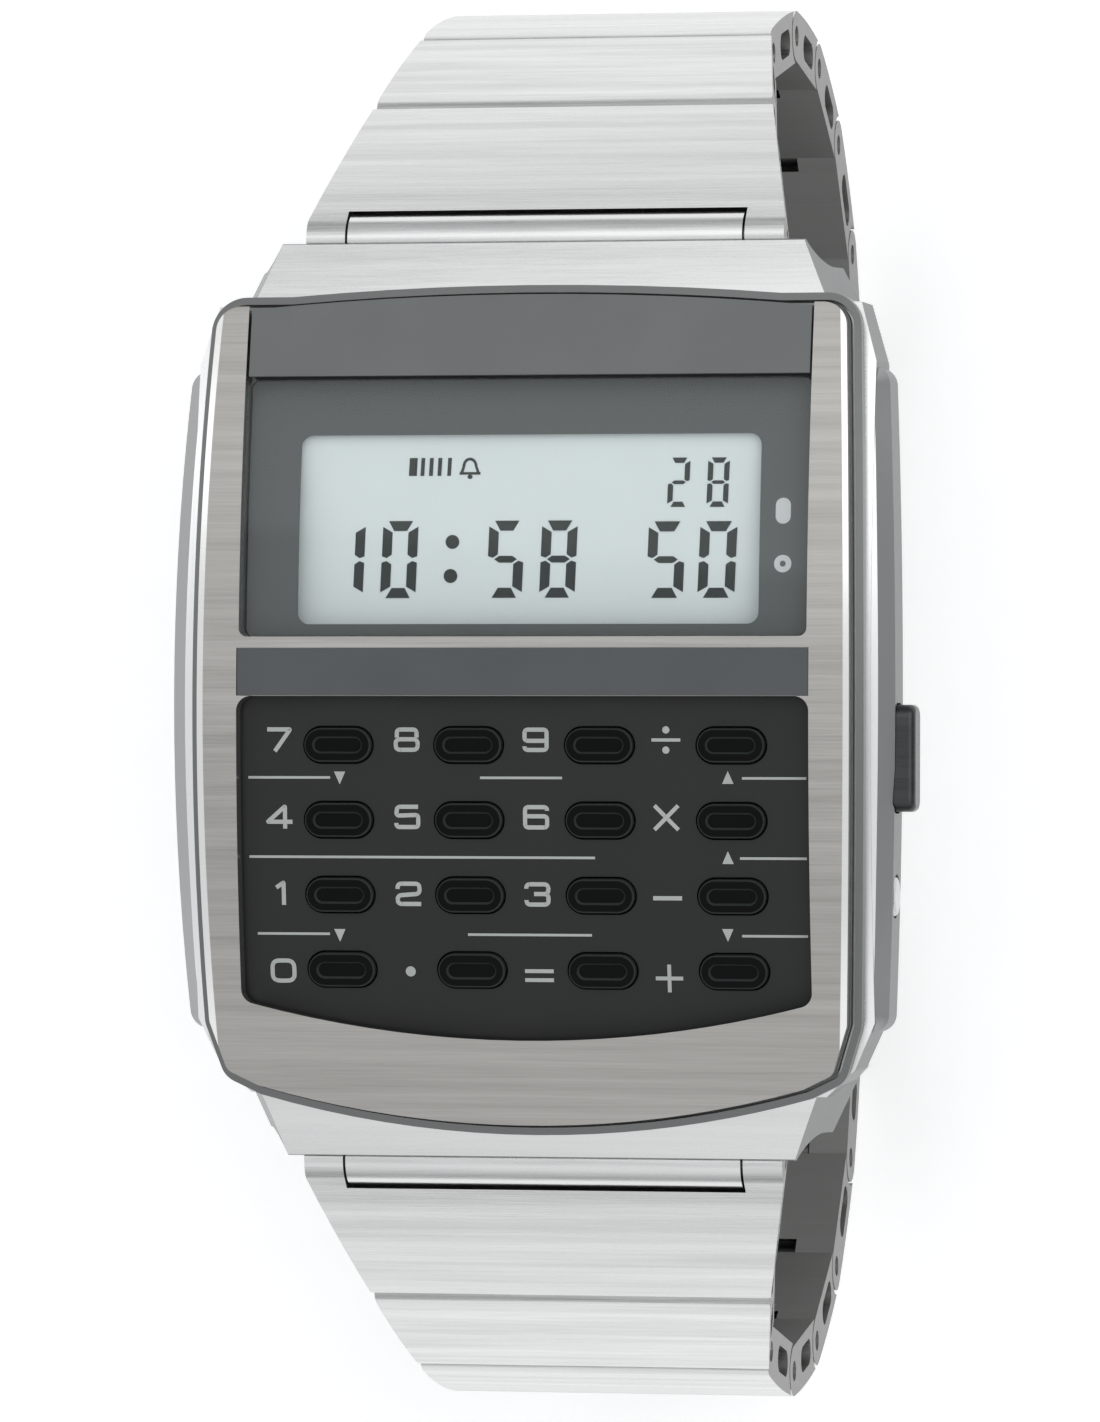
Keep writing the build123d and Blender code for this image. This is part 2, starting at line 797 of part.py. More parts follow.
# Display: two glass sheets, the lower one longer, on two rows of contact rubber
with BuildPart() as lcd_panel:
    with BuildSketch(level(lcd_low_depth)):
        with Locations((0, (lcd_low + lcd_high) / 2)):
            Rectangle(2 * lcd_half_width, lcd_high - lcd_low)
    extrude(amount=lcd_thickness)
    with BuildSketch(level(lcd_low_depth)):
        with Locations((0, (lcd_low - lcd_ledge + lcd_high) / 2)):
            Rectangle(2 * lcd_half_width, lcd_high - lcd_low + lcd_ledge)
    extrude(amount=lcd_thickness * lcd_glass_share)
save(lcd_panel, "lcd_panel")

with BuildPart() as lcd_connectors:
    with BuildSketch(level(board_top_depth)):
        with Locations(
            (0, lcd_low - lcd_ledge + strip_connector_width / 2),
            (0, lcd_high - strip_connector_width / 2),
        ):
            Rectangle(2 * lcd_view_half_width, strip_connector_width)
    extrude(amount=board_top_depth - lcd_low_depth)
save(lcd_connectors, "lcd_connectors")

# Circuit board with the processor and the quartz can on its underside
with BuildPart() as circuit_board:
    with BuildSketch(level(board_low_depth)):
        with Locations((0, (board_low + board_high) / 2)):
            Rectangle(2 * board_half_width, board_high - board_low)
    extrude(amount=board_thickness)
save(circuit_board, "circuit_board")

with BuildPart() as processor_chip:
    with BuildSketch(level(board_low_depth + chip_thickness)):
        with Locations((0, chip_y)):
            Rectangle(chip_size, chip_size)
    extrude(amount=chip_thickness)
save(processor_chip, "processor_chip")

with BuildPart() as quartz_crystal:
    with BuildSketch(Plane.YZ.offset(quartz_x - quartz_length / 2)):
        with Locations((quartz_y, face_height - board_low_depth - quartz_radius)):
            Circle(quartz_radius)
    extrude(amount=quartz_length)
    fillet(quartz_crystal.faces().sort_by(Axis.X)[0].edges(), quartz_radius / 2)
save(quartz_crystal, "quartz_crystal")

# Frame that carries the board, with pockets for the cell and the parts under the board
frame_low = board_low - module_margin
frame_high = board_high + module_margin
with BuildPart() as module_frame:
    with BuildSketch(level(module_low_depth)):
        with Locations((0, (frame_low + frame_high) / 2)):
            RectangleRounded(2 * module_half_width, frame_high - frame_low, cavity_round)
    extrude(amount=module_low_depth - module_rim_depth)
    with BuildSketch(level(board_low_depth)):
        with Locations((0, (board_low + board_high) / 2)):
            Rectangle(2 * (board_half_width + module_gap), board_high - board_low + 2 * module_gap)
    extrude(amount=board_low_depth, mode=Mode.SUBTRACT)
    with BuildSketch(level(module_low_depth)):
        with Locations((0, battery_y)):
            Circle(battery_radius + battery_gap)
        with Locations((0, chip_y)):
            Rectangle(chip_size + 2 * pocket_gap, chip_size + 2 * pocket_gap)
        with Locations((quartz_x, quartz_y)):
            Rectangle(quartz_length + 2 * pocket_gap, 2 * (quartz_radius + pocket_gap))
        with Locations((contact_x, contact_y)):
            Circle(contact_radius + contact_hole_gap)
    extrude(amount=module_low_depth, mode=Mode.SUBTRACT)
save(module_frame, "module_frame")

# Coin cell with a stepped rim, and the spring strap that holds it
with BuildPart() as battery:
    with BuildSketch(level(module_low_depth)):
        with Locations((0, battery_y)):
            Circle(battery_radius)
    extrude(amount=battery_thickness - battery_step)
    with BuildSketch(level(module_low_depth)):
        with Locations((0, battery_y)):
            Circle(battery_radius - 2 * battery_step)
    extrude(amount=battery_thickness)
save(battery, "battery")

with BuildPart() as battery_clip:
    with BuildSketch(level(module_low_depth + clip_thickness)) as clip_plan:
        with Locations((0, battery_y)):
            Rectangle(2 * clip_half_length, 2 * clip_half_width)
        chamfer(clip_plan.vertices(), clip_tab)
    extrude(amount=clip_thickness)
save(battery_clip, "battery_clip")

# Piezo disc on the case back, and the coil that feeds it from the board
with BuildPart() as buzzer_disc:
    with BuildSketch(level(case_depth)):
        with Locations((0, sounder_y)):
            Circle(sounder_radius)
    extrude(amount=sounder_thickness)
save(buzzer_disc, "buzzer_disc")

contact_height = case_depth - sounder_thickness - board_low_depth - 4 * contact_wire
contact_foot = face_height - case_depth + sounder_thickness + 2 * contact_wire
with BuildPart() as buzzer_spring:
    with BuildLine(Plane(origin=(contact_x, contact_y, contact_foot))) as coil:
        Helix(pitch=contact_height / contact_turns, height=contact_height, radius=contact_radius)
    with BuildSketch(Plane(origin=coil.line @ 0, z_dir=coil.line % 0)):
        Circle(contact_wire)
    sweep()
save(buzzer_spring, "buzzer_spring")


def link_plane(side, index, along=0.0):
    """Side plane of a link at its leading pivot: local x runs along the link, local y to its outer face."""
    slope = radians(link_slopes[index])
    return Plane(
        origin=(
            0,
            side * (pivot_reach[index] + along * cos(slope)),
            lug_height - pivot_drop[index] - along * sin(slope),
        ),
        x_dir=(0, side * cos(slope), -sin(slope)),
        z_dir=(side, 0, 0),
    )


def barrel_room():
    """Section cut for the barrel before a link: the socket, less a thin hood of steel over the barrel."""
    hood_reach = 2 * socket_radius
    start, end = radians(link_hood_start), radians(link_hood_end)
    with BuildSketch() as wedge:
        Polygon(
            (0, 0),
            (hood_reach * cos(start), hood_reach * sin(start)),
            (0, 2 * hood_reach),
            (hood_reach * cos(end), hood_reach * sin(end)),
            align=None,
        )
        Circle(link_hood_radius, mode=Mode.SUBTRACT)
    with BuildSketch() as room:
        Circle(socket_radius)
        add(wedge.sketch, mode=Mode.SUBTRACT)
    return room.sketch


# Bracelet links: folded steel with a rolled front edge over the barrel before, and a barrel for the next
# link behind. The first link of each chain has plain ears instead, on both sides of the case's barrel.
for side, chain in ((1, "upper"), (-1, "lower")):
    for index, length in enumerate(link_lengths):
        lead_width = pivot_widths[index]
        trail_width = pivot_widths[index + 1]
        lead_barrel = lug_barrel_width if index == 0 else lead_width - 2 * ear_width
        trail_barrel = trail_width - 2 * ear_width
        lead_pin = bar_pin_radius if index == 0 else link_pin_radius
        last_link = index == link_count - 1
        trail_pin = bar_pin_radius if last_link else link_pin_radius
        blunt = side < 0 and last_link
        body_end = length - (blunt_gap if blunt else socket_radius)
        lead = link_plane(side, index)
        trail = link_plane(side, index, length)
        plan = Plane(origin=lead.origin, x_dir=lead.x_dir, z_dir=lead.y_dir)
        with BuildPart() as link:
            with BuildSketch(lead):
                with BuildLine():
                    base = Line((0, -ear_radius), (length, -ear_radius))
                    end = Line(base @ 1, (length, ear_radius))
                    arch = ThreePointArc(end @ 1, (length / 2, ear_radius + link_arch), (0, ear_radius))
                    ThreePointArc(arch @ 1, (-ear_radius, 0), base @ 0)
                make_face()
            extrude(amount=lead_width / 2, both=True)
            # The sides draw in towards the clasp
            with BuildSketch(plan):
                draw_in = (lead_width - trail_width) / 2 / length
                Polygon(
                    (-overrun, lead_width / 2 + overrun * draw_in),
                    (length + overrun, trail_width / 2 - overrun * draw_in),
                    (length + overrun, -trail_width / 2 + overrun * draw_in),
                    (-overrun, -lead_width / 2 - overrun * draw_in),
                    align=None,
                )
            extrude(amount=overrun, both=True, mode=Mode.INTERSECT)
            # The fold is open from side to side
            with BuildSketch(lead):
                fold_start = socket_radius + link_wall
                fold_end = body_end - link_wall
                with Locations(((fold_start + fold_end) / 2, 0)):
                    RectangleRounded(fold_end - fold_start, 2 * (ear_radius - link_wall), link_wall)
            extrude(amount=lead_width, both=True, mode=Mode.SUBTRACT)
            # Room for the barrel before and for the ears behind
            with BuildSketch(lead):
                if index == 0:
                    Circle(socket_radius)
                else:
                    add(barrel_room())
            extrude(amount=lead_barrel / 2 + ear_gap, both=True, mode=Mode.SUBTRACT)
            if blunt:
                with BuildSketch(trail):
                    Rectangle(2 * blunt_gap, 4 * ear_radius)
            else:
                with BuildSketch(trail):
                    Circle(socket_radius)
            extrude(amount=lead_width, both=True, mode=Mode.SUBTRACT)
            with BuildSketch(trail):
                Circle(ear_radius if last_link else link_barrel_radius)
                neck_length = length - body_end + link_wall
                with Locations((-neck_length / 2, (link_neck_rise - link_neck_fall) / 2)):
                    Rectangle(neck_length, link_neck_rise + link_neck_fall)
            extrude(amount=trail_barrel / 2, both=True)
            with BuildSketch(trail):
                Circle(trail_pin + pin_running_gap)
            extrude(amount=lead_width, both=True, mode=Mode.SUBTRACT)
            # Holes in the ears, and the pin that they hold
            if index == 0:
                with BuildSketch(lead):
                    Circle(bar_tip_radius + pin_seat_gap)
                extrude(amount=lead_width, both=True, mode=Mode.SUBTRACT)
                with BuildSketch(lead):
                    Circle(bar_pin_radius + pin_seat_gap)
                extrude(amount=lead_width / 2 - pin_inset - bar_tip_length, both=True, mode=Mode.SUBTRACT)
            else:
                with BuildSketch(lead):
                    Circle(link_pin_radius + pin_seat_gap)
                extrude(amount=lead_width, both=True, mode=Mode.SUBTRACT)
                with BuildSketch(lead):
                    Circle(link_pin_radius)
                extrude(amount=lead_width / 2 - pin_inset, both=True)
            if blunt:
                # Spring bar of the clasp end, drawn in
                with BuildSketch(trail):
                    Circle(bar_pin_radius)
                extrude(amount=trail_barrel / 2 - pin_inset, both=True)
        save(link, f"{chain}_link_{index + 1}")

    # Spring bar at the case: thin tips in the ears of the first link
    with BuildPart() as spring_bar:
        with BuildSketch(link_plane(side, 0)):
            Circle(bar_tip_radius)
        extrude(amount=lug_width / 2 - pin_inset, both=True)
        with BuildSketch(link_plane(side, 0)):
            Circle(bar_pin_radius)
        extrude(amount=lug_width / 2 - pin_inset - bar_tip_length - pin_seat_gap, both=True)
    save(spring_bar, f"{chain}_spring_bar")

# Clasp cover: a channel with ears round the last upper barrel and a hinge for the blades at its far end
cover_half_width = clasp_width / 2
cover_near_end = clasp_reach - socket_radius
clasp_barrel_half = clasp_width / 2 - ear_width
ear_start = clasp_barrel_half + ear_gap
ear_thickness = cover_half_width - ear_start
ear_middle = ear_start + ear_thickness / 2
knuckle_start = blade_knuckle_half_width + blade_joint_gap
knuckle_width = blade_half_width - knuckle_start
knuckle_middle = knuckle_start + knuckle_width / 2
joint_socket = blade_joint_radius + blade_joint_gap


def side_block(middle, y_from, y_to, z_from, z_to, thickness):
    """Two blocks of one thickness, mirrored to both sides, between places along Y and heights."""
    with Locations(*[(x, (y_from + y_to) / 2, (z_from + z_to) / 2) for x in (-middle, middle)]):
        Box(thickness, y_to - y_from, z_to - z_from)


def side_discs(middle, y, z, radius, thickness, mode=Mode.ADD):
    """Two discs across the clasp, mirrored to both sides."""
    with Locations(*[(x, y, z) for x in (-middle, middle)]):
        Cylinder(radius, thickness, rotation=(0, 90, 0), mode=mode)


def blade_pin(y, z):
    """Holes for a blade pin in both ears, and the pin in them."""
    with Locations((0, y, z)):
        Cylinder(
            blade_pin_radius + pin_seat_gap,
            4 * blade_half_width,
            rotation=(0, 90, 0),
            mode=Mode.SUBTRACT,
        )
        Cylinder(blade_pin_radius, 2 * (blade_half_width - pin_inset), rotation=(0, 90, 0))


with BuildPart() as clasp_cover:
    with BuildSketch():
        with Locations((0, (cover_near_end - cover_far_end) / 2)):
            Rectangle(2 * cover_half_width, cover_near_end + cover_far_end)
    extrude(amount=cover_thickness)
    chamfer(clasp_cover.faces().sort_by(Axis.Z)[0].edges(), length=cover_bevel)
    side_block(
        cover_half_width - cover_wall / 2,
        -cover_far_end,
        cover_near_end,
        cover_bevel,
        cover_wall_height,
        cover_wall,
    )
    side_block(
        ear_middle,
        cover_near_end - ear_width,
        clasp_reach,
        clasp_pivot_height - ear_radius,
        clasp_pivot_height + ear_radius,
        ear_thickness,
    )
    side_discs(ear_middle, clasp_reach, clasp_pivot_height, ear_radius, ear_thickness)
    side_discs(ear_middle, clasp_reach, clasp_pivot_height, bar_pin_radius + pin_seat_gap, ear_width * 2,
               mode=Mode.SUBTRACT)
    # Hinge ears for the middle blade
    side_block(
        knuckle_middle,
        -cover_joint_reach - blade_joint_radius,
        -cover_joint_reach + blade_joint_radius,
        cover_thickness / 2,
        cover_joint_height,
        knuckle_width,
    )
    side_discs(knuckle_middle, -cover_joint_reach, cover_joint_height, blade_joint_radius, knuckle_width)
    blade_pin(-cover_joint_reach, cover_joint_height)
    with Locations((0, clasp_reach, clasp_pivot_height)):
        Cylinder(bar_pin_radius, 2 * (cover_half_width - pin_inset), rotation=(0, 90, 0))
save(clasp_cover, "clasp_cover")

# Middle blade: a plate with one knuckle at each end
middle_blade_center = (
    0,
    (blade_joint_reach - cover_joint_reach) / 2,
    middle_blade_height + blade_thickness / 2,
)
with BuildPart() as clasp_middle_blade:
    with Locations(middle_blade_center):
        Box(
            2 * blade_half_width,
            blade_joint_reach + cover_joint_reach - 2 * joint_socket,
            blade_thickness,
        )
        Box(
            2 * blade_knuckle_half_width,
            blade_joint_reach + cover_joint_reach,
            blade_thickness,
        )
    joints_at = ((0, -cover_joint_reach, cover_joint_height), (0, blade_joint_reach, blade_joint_height))
    with Locations(*joints_at):
        Cylinder(blade_joint_radius, 2 * blade_knuckle_half_width, rotation=(0, 90, 0))
        Cylinder(
            blade_pin_radius + pin_running_gap,
            4 * blade_knuckle_half_width,
            rotation=(0, 90, 0),
            mode=Mode.SUBTRACT,
        )
save(clasp_middle_blade, "clasp_middle_blade")

# Inner blade: from the blade joint over the cover hinge to the ears at the last lower barrel
inner_face = clasp_reach - socket_radius
with BuildPart() as clasp_inner_blade:
    with Locations((0, (blade_joint_reach - inner_face) / 2, inner_blade_height + blade_thickness / 2)):
        Box(2 * blade_half_width, blade_joint_reach + inner_face, blade_thickness)
    with Locations((0, blade_joint_reach, blade_joint_height)):
        Cylinder(joint_socket, 2 * knuckle_start, rotation=(0, 90, 0), mode=Mode.SUBTRACT)
    side_discs(knuckle_middle, blade_joint_reach, blade_joint_height, blade_joint_radius, knuckle_width)
    blade_pin(blade_joint_reach, blade_joint_height)
    end_top = inner_blade_height + blade_thickness
    with Locations((0, -inner_face + inner_end_length / 2, (inner_end_height + end_top) / 2)):
        Box(2 * cover_half_width, inner_end_length, end_top - inner_end_height)
    side_block(
        ear_middle,
        -clasp_reach,
        -inner_face + inner_end_length / 2,
        clasp_pivot_height - ear_radius + cover_bevel,
        clasp_pivot_height + ear_radius,
        ear_thickness,
    )
    side_discs(ear_middle, -clasp_reach, clasp_pivot_height, ear_radius, ear_thickness)
    side_discs(ear_middle, -clasp_reach, clasp_pivot_height, bar_tip_radius + pin_seat_gap, ear_width * 2,
               mode=Mode.SUBTRACT)
save(clasp_inner_blade, "clasp_inner_blade")
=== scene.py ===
from math import cos, radians, sin

import bpy
import numpy as np
from mathutils import Matrix, Vector


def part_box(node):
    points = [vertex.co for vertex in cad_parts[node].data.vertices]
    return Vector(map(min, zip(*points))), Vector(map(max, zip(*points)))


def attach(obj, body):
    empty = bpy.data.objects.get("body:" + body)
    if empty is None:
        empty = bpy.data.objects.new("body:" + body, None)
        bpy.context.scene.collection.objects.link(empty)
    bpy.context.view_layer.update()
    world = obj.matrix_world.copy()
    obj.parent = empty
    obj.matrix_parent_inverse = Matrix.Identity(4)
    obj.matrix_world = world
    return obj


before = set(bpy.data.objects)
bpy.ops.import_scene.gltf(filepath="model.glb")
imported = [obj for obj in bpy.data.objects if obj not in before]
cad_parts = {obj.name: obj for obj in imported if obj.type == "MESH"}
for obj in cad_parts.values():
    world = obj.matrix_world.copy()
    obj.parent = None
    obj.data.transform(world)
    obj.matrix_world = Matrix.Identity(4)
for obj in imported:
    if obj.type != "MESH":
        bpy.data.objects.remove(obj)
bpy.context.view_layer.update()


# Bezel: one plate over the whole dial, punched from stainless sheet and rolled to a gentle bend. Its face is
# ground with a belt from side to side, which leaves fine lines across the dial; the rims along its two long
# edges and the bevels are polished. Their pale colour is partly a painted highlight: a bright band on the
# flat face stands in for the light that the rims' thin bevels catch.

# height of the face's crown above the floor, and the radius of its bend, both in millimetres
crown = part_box("bezel")[1][2] * 1000
face_radius = 80.0


def tone(code):
    """Linear colour of an sRGB hex code, each channel by the standard piecewise curve."""
    parts = [int(code[i:i + 2], 16) / 255 for i in (0, 2, 4)]
    return [c / 12.92 if c <= 0.04045 else ((c + 0.055) / 1.055) ** 2.4 for c in parts] + [1.0]


def new_material(name):
    """An empty node material and its output node."""
    material = bpy.data.materials.new(name)
    material.use_nodes = True
    material.node_tree.nodes.clear()
    return material, material.node_tree.nodes.new("ShaderNodeOutputMaterial")


def add(material, kind, inputs, **settings):
    """Adds one node with its settings; each input is a number or colour to set or a socket to link."""
    node = material.node_tree.nodes.new(kind)
    for name, value in settings.items():
        setattr(node, name, value)
    for key, value in inputs.items():
        if isinstance(value, bpy.types.NodeSocket):
            material.node_tree.links.new(value, node.inputs[key])
        else:
            node.inputs[key].default_value = value
    return node


def finish(material, output, surface):
    """Links a shader to the material's output and returns the material."""
    material.node_tree.links.new(surface, output.inputs["Surface"])
    return material


def dress(material, *names):
    """Gives a material to every slot of the named CAD nodes."""
    for name in names:
        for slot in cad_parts[name].material_slots:
            slot.material = material


# a further finish covers nine tenths at most, so that a trace of what lies below it stays
largest_share = 0.9


def leaning(material, none_at, most_at):
    """Share of a further finish by how far a surface leans from level: none where its normal's z is over
    the first limit, the largest share where it is under the second, even between them."""
    normal = add(material, "ShaderNodeTexCoord", {}).outputs["Normal"]
    upright = add(material, "ShaderNodeSeparateXYZ", {0: normal}).outputs[2]
    return add(material, "ShaderNodeMapRange", {"Value": upright, "From Min": none_at, "From Max": most_at,
                                                "To Max": largest_share}).outputs[0]


def side_rim(material, inner, outer):
    """Share of a further finish along the bezel's two long edges, its limits in millimetres from the
    middle line. The edges bow out, so the half width falls by the bow times the square of y over its reach,
    and the same amount is added to a point's own distance."""
    bow, reach = 0.5 / 1000, 18.5 / 1000
    place = add(material, "ShaderNodeTexCoord", {}).outputs["Object"]
    parts = add(material, "ShaderNodeSeparateXYZ", {0: place})
    away = add(material, "ShaderNodeMath", {0: parts.outputs[0]}, operation="ABSOLUTE")
    along = add(material, "ShaderNodeMath", {0: parts.outputs[1], 1: parts.outputs[1]}, operation="MULTIPLY")
    level = add(material, "ShaderNodeMath", {0: along.outputs[0], 1: bow / reach ** 2, 2: away.outputs[0]},
                operation="MULTIPLY_ADD")
    return add(material, "ShaderNodeMapRange", {"Value": level.outputs[0], "From Min": inner / 1000,
                                                "From Max": outer / 1000, "To Max": largest_share}).outputs[0]


def ground_metal(name, dark, light, line, run, rough, relief, turn=0, others=()):
    """Metal with parallel grinding lines, all lengths in millimetres.

    The lines are a noise stretched along one axis: line is the width of a line across the grain, run its
    length along it, and turn swings the grain about Z, in degrees. Streaks are the same noise, nearly seven
    times as coarse. Both shift the colour, and the lines shift the roughness and the height too. Real lines
    are a few hundredths of a millimetre wide, and are drawn as coarse as they need to show.
    Each further finish is a share function with its two limits, a colour and a roughness. It is laid over
    what came before and thins the relief to a tenth.
    """
    material, output = new_material(name)
    place = add(material, "ShaderNodeTexCoord", {}).outputs["Object"]
    grain = add(material, "ShaderNodeMapping", {"Vector": place, "Rotation": (0, 0, radians(turn)),
                                                "Scale": (1000 / run, 1000 / line, 1000 / line)}).outputs[0]
    lines = add(material, "ShaderNodeTexNoise", {"Vector": grain, "Scale": 1.0, "Detail": 3.0,
                                                 "Roughness": 0.6}).outputs[0]
    streaks = add(material, "ShaderNodeTexNoise", {"Vector": grain, "Scale": 0.15, "Detail": 2.0}).outputs[0]
    both = add(material, "ShaderNodeMath", {0: lines, 1: streaks}, operation="ADD").outputs[0]
    spread = add(material, "ShaderNodeMapRange", {"Value": both, "From Min": 0.7, "From Max": 1.3}).outputs[0]
    shade = add(material, "ShaderNodeMix", {0: spread, 6: tone(dark), 7: tone(light)},
                data_type="RGBA").outputs[2]
    dull = add(material, "ShaderNodeMapRange", {"Value": lines, "From Min": 0.3, "From Max": 0.7,
                                                "To Min": rough[0], "To Max": rough[1]}).outputs[0]
    lined = 1.0
    for share_of, first_limit, second_limit, colour, roughness in others:
        share = share_of(material, first_limit, second_limit)
        shade = add(material, "ShaderNodeMix", {0: share, 6: shade, 7: tone(colour)},
                    data_type="RGBA").outputs[2]
        dull = add(material, "ShaderNodeMix", {0: share, 2: dull, 3: roughness}, data_type="FLOAT").outputs[0]
        lined = add(material, "ShaderNodeMix", {0: share, 2: lined, 3: 0.1}, data_type="FLOAT").outputs[0]
    bump = add(material, "ShaderNodeBump", {"Height": lines, "Strength": lined, "Distance": relief / 1000})
    metal = add(material, "ShaderNodeBsdfPrincipled", {"Base Color": shade, "Metallic": 1.0,
                                                       "Roughness": dull, "Normal": bump.outputs[0]})
    return finish(material, output, metal.outputs[0])


# belt-ground stainless steel: grey with a warm cast, dull across the lines; its rims and bevels are polished
# and painted bright, partly a painted highlight
polished_edges_and_painted_highlight = [(side_rim, 15.2, 15.23, "f2f2f0", 0.16), (leaning, 0.93, 0.85, "e0e0de", 0.2)]
dress(ground_metal("belt_ground_stainless_bezel", "a09e9a", "b6b4b0", line=0.09, run=5.0, rough=(0.30, 0.42),
                   relief=0.004, others=polished_edges_and_painted_highlight), "bezel")


# Bar above the window: a metal bar with bevelled edges that closes the window's slot at the top of the
# dial. It is painted dark grey and lies a tenth of a millimetre below the bezel's face.

def sprayed_paint(name, dark, light, grain, rough, relief, coat=0.0, gloss=0.5, edge=None):
    """Paint or moulded skin, lengths in millimetres: a fine orange-peel noise in height, as wide as the
    grain, and a slow drift in colour and roughness, in patches of about 4.5 mm. An edge finish is a share
    function with its two limits and a colour: a painted highlight, such as paler bevels that stand in for the
    light on them."""
    material, output = new_material(name)
    place = add(material, "ShaderNodeTexCoord", {}).outputs["Object"]
    peel = add(material, "ShaderNodeTexNoise", {"Vector": place, "Scale": 1000 / grain, "Detail": 2.0})
    drift = add(material, "ShaderNodeTexNoise", {"Vector": place, "Scale": 220.0, "Detail": 3.0}).outputs[0]
    shade = add(material, "ShaderNodeMix", {0: drift, 6: tone(dark), 7: tone(light)},
                data_type="RGBA").outputs[2]
    # the edge finish is a painted highlight: a paler colour on the faces its share picks
    if edge:
        share_of, first_limit, second_limit, colour = edge
        share = share_of(material, first_limit, second_limit)
        shade = add(material, "ShaderNodeMix", {0: share, 6: shade, 7: tone(colour)},
                    data_type="RGBA").outputs[2]
    bump = add(material, "ShaderNodeBump", {"Height": peel.outputs[0], "Strength": 1.0,
                                            "Distance": relief / 1000})
    dull = add(material, "ShaderNodeMapRange", {"Value": drift, "From Min": 0.3, "From Max": 0.7,
                                                "To Min": rough - 0.05, "To Max": rough + 0.05})
    skin = add(material, "ShaderNodeBsdfPrincipled", {"Base Color": shade, "Roughness": dull.outputs[0],
                                                      "Normal": bump.outputs[0], "Coat Weight": coat,
                                                      "Specular IOR Level": gloss})
    return finish(material, output, skin.outputs[0])


# satin lacquer: an even dark grey with a soft, wide gloss
dress(sprayed_paint("satin_dark_grey_lacquer", "5f6262", "707373", grain=0.12, rough=0.38, relief=0.002),
      "upper_bar")


# Inlay strip in the crossbar between window and keypad: thin sheet painted blue-grey, and laid in a
# shallow recess of the bezel that is a little wider than the strip.

# lacquer under a thin clear coat: darker and bluer than the bar, with a faint sharp gloss on top
dress(sprayed_paint("blue_grey_inlay_lacquer", "44484b", "505457", grain=0.15, rough=0.34, relief=0.002,
                    coat=0.1), "center_strip")


# Crystal: a clear acrylic pane cut to the window and bent like the bezel, polished on both faces. It is
# pressed on a rubber gasket.

# clear acrylic: light goes straight through the thin pane, and what the eye gets from it is the gloss of
# its front face, a little uneven by waves of 11 mm
crystal_pane, crystal_out = new_material("clear_acrylic_pane")
pane_place = add(crystal_pane, "ShaderNodeTexCoord", {}).outputs["Object"]
pane_wave = add(crystal_pane, "ShaderNodeTexNoise", {"Vector": pane_place, "Scale": 90.0, "Detail": 1.0})
pane_bump = add(crystal_pane, "ShaderNodeBump", {"Height": pane_wave.outputs[0], "Strength": 1.0,
                                                 "Distance": 0.00002})
pane_clear = add(crystal_pane, "ShaderNodeBsdfTransparent", {"Color": tone("fafcfc")})
pane_gloss = add(crystal_pane, "ShaderNodeBsdfGlossy", {"Color": (1, 1, 1, 1), "Roughness": 0.06,
                                                        "Normal": pane_bump.outputs[0]})
pane_share = add(crystal_pane, "ShaderNodeFresnel", {"IOR": 1.35})
pane_side = add(crystal_pane, "ShaderNodeNewGeometry", {}).outputs["Backfacing"]
pane_front = add(crystal_pane, "ShaderNodeMath", {0: 1.0, 1: pane_side}, operation="SUBTRACT")
pane_part = add(crystal_pane, "ShaderNodeMath", {0: pane_share.outputs[0], 1: pane_front.outputs[0]},
                operation="MULTIPLY")
pane_mix = add(crystal_pane, "ShaderNodeMixShader", {0: pane_part.outputs[0], 1: pane_clear.outputs[0],
                                                     2: pane_gloss.outputs[0]})
dress(finish(crystal_pane, crystal_out, pane_mix.outputs[0]), "crystal")

# moulded rubber: black and matt, without a highlight; the key mat and the back's seal are made of it too
black_rubber = sprayed_paint("black_rubber_seal", "0f0f0f", "171717", grain=0.1, rough=0.7, relief=0.004)
dress(black_rubber, "crystal_gasket")


# Mask: the border screen-printed in dark grey on the back of the crystal, with an opening for the display
# and two light marks that point at the buttons: an oval for the upper one and a ring for the lower one.

# dark printing ink: flat grey, matt behind the clear pane
mask_ink = sprayed_paint("screen_printed_grey_mask", "4e5252", "585c5c", grain=0.2, rough=0.55, relief=0.0005)
dress(mask_ink, "dial_mask")


def bent(x, y, depth):
    """Points on the dial's bent layers, millimetres to metres: the layer at a depth below the crown is an
    arc along Y about the same axis as the face, so z is the face's crown less the radius, plus the root of
    the layer's own radius squared less y squared."""
    z = crown - face_radius + np.sqrt(np.square(face_radius - depth) - np.square(y))
    return np.stack([x, y, z], axis=-1) / 1000


def printed(name, outlines, place, depth, material, step=0.004):
    """A printed mark: closed outlines in millimetres, each one face, laid on a surface at a depth. Twice the
    area of an outline, the sum of x times the next y less y times the next x, tells which way round it
    runs, and those that run clockwise are turned, so every face looks outward. Of each seven outlines in a
    row, each lies a step above the one before, so strokes that cross don't share one height."""
    doubled = [np.sum(line[:, 0] * np.roll(line[:, 1], -1) - line[:, 1] * np.roll(line[:, 0], -1))
               for line in outlines]
    outlines = [line if area > 0 else line[::-1] for line, area in zip(outlines, doubled)]
    sizes = [len(line) for line in outlines]
    starts = np.cumsum([0] + sizes)
    faces = [list(range(start, start + size)) for start, size in zip(starts, sizes)]
    plan = np.concatenate(outlines)
    rise = np.repeat(np.arange(len(sizes)) % 7, sizes) * step
    mesh = bpy.data.meshes.new(name)
    mesh.from_pydata(place(plan[:, 0], plan[:, 1], depth - rise).tolist(), [], faces)
    mesh.update()
    piece = bpy.data.objects.new(name, mesh)
    bpy.context.scene.collection.objects.link(piece)
    piece.data.materials.append(material)
    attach(piece, "case")


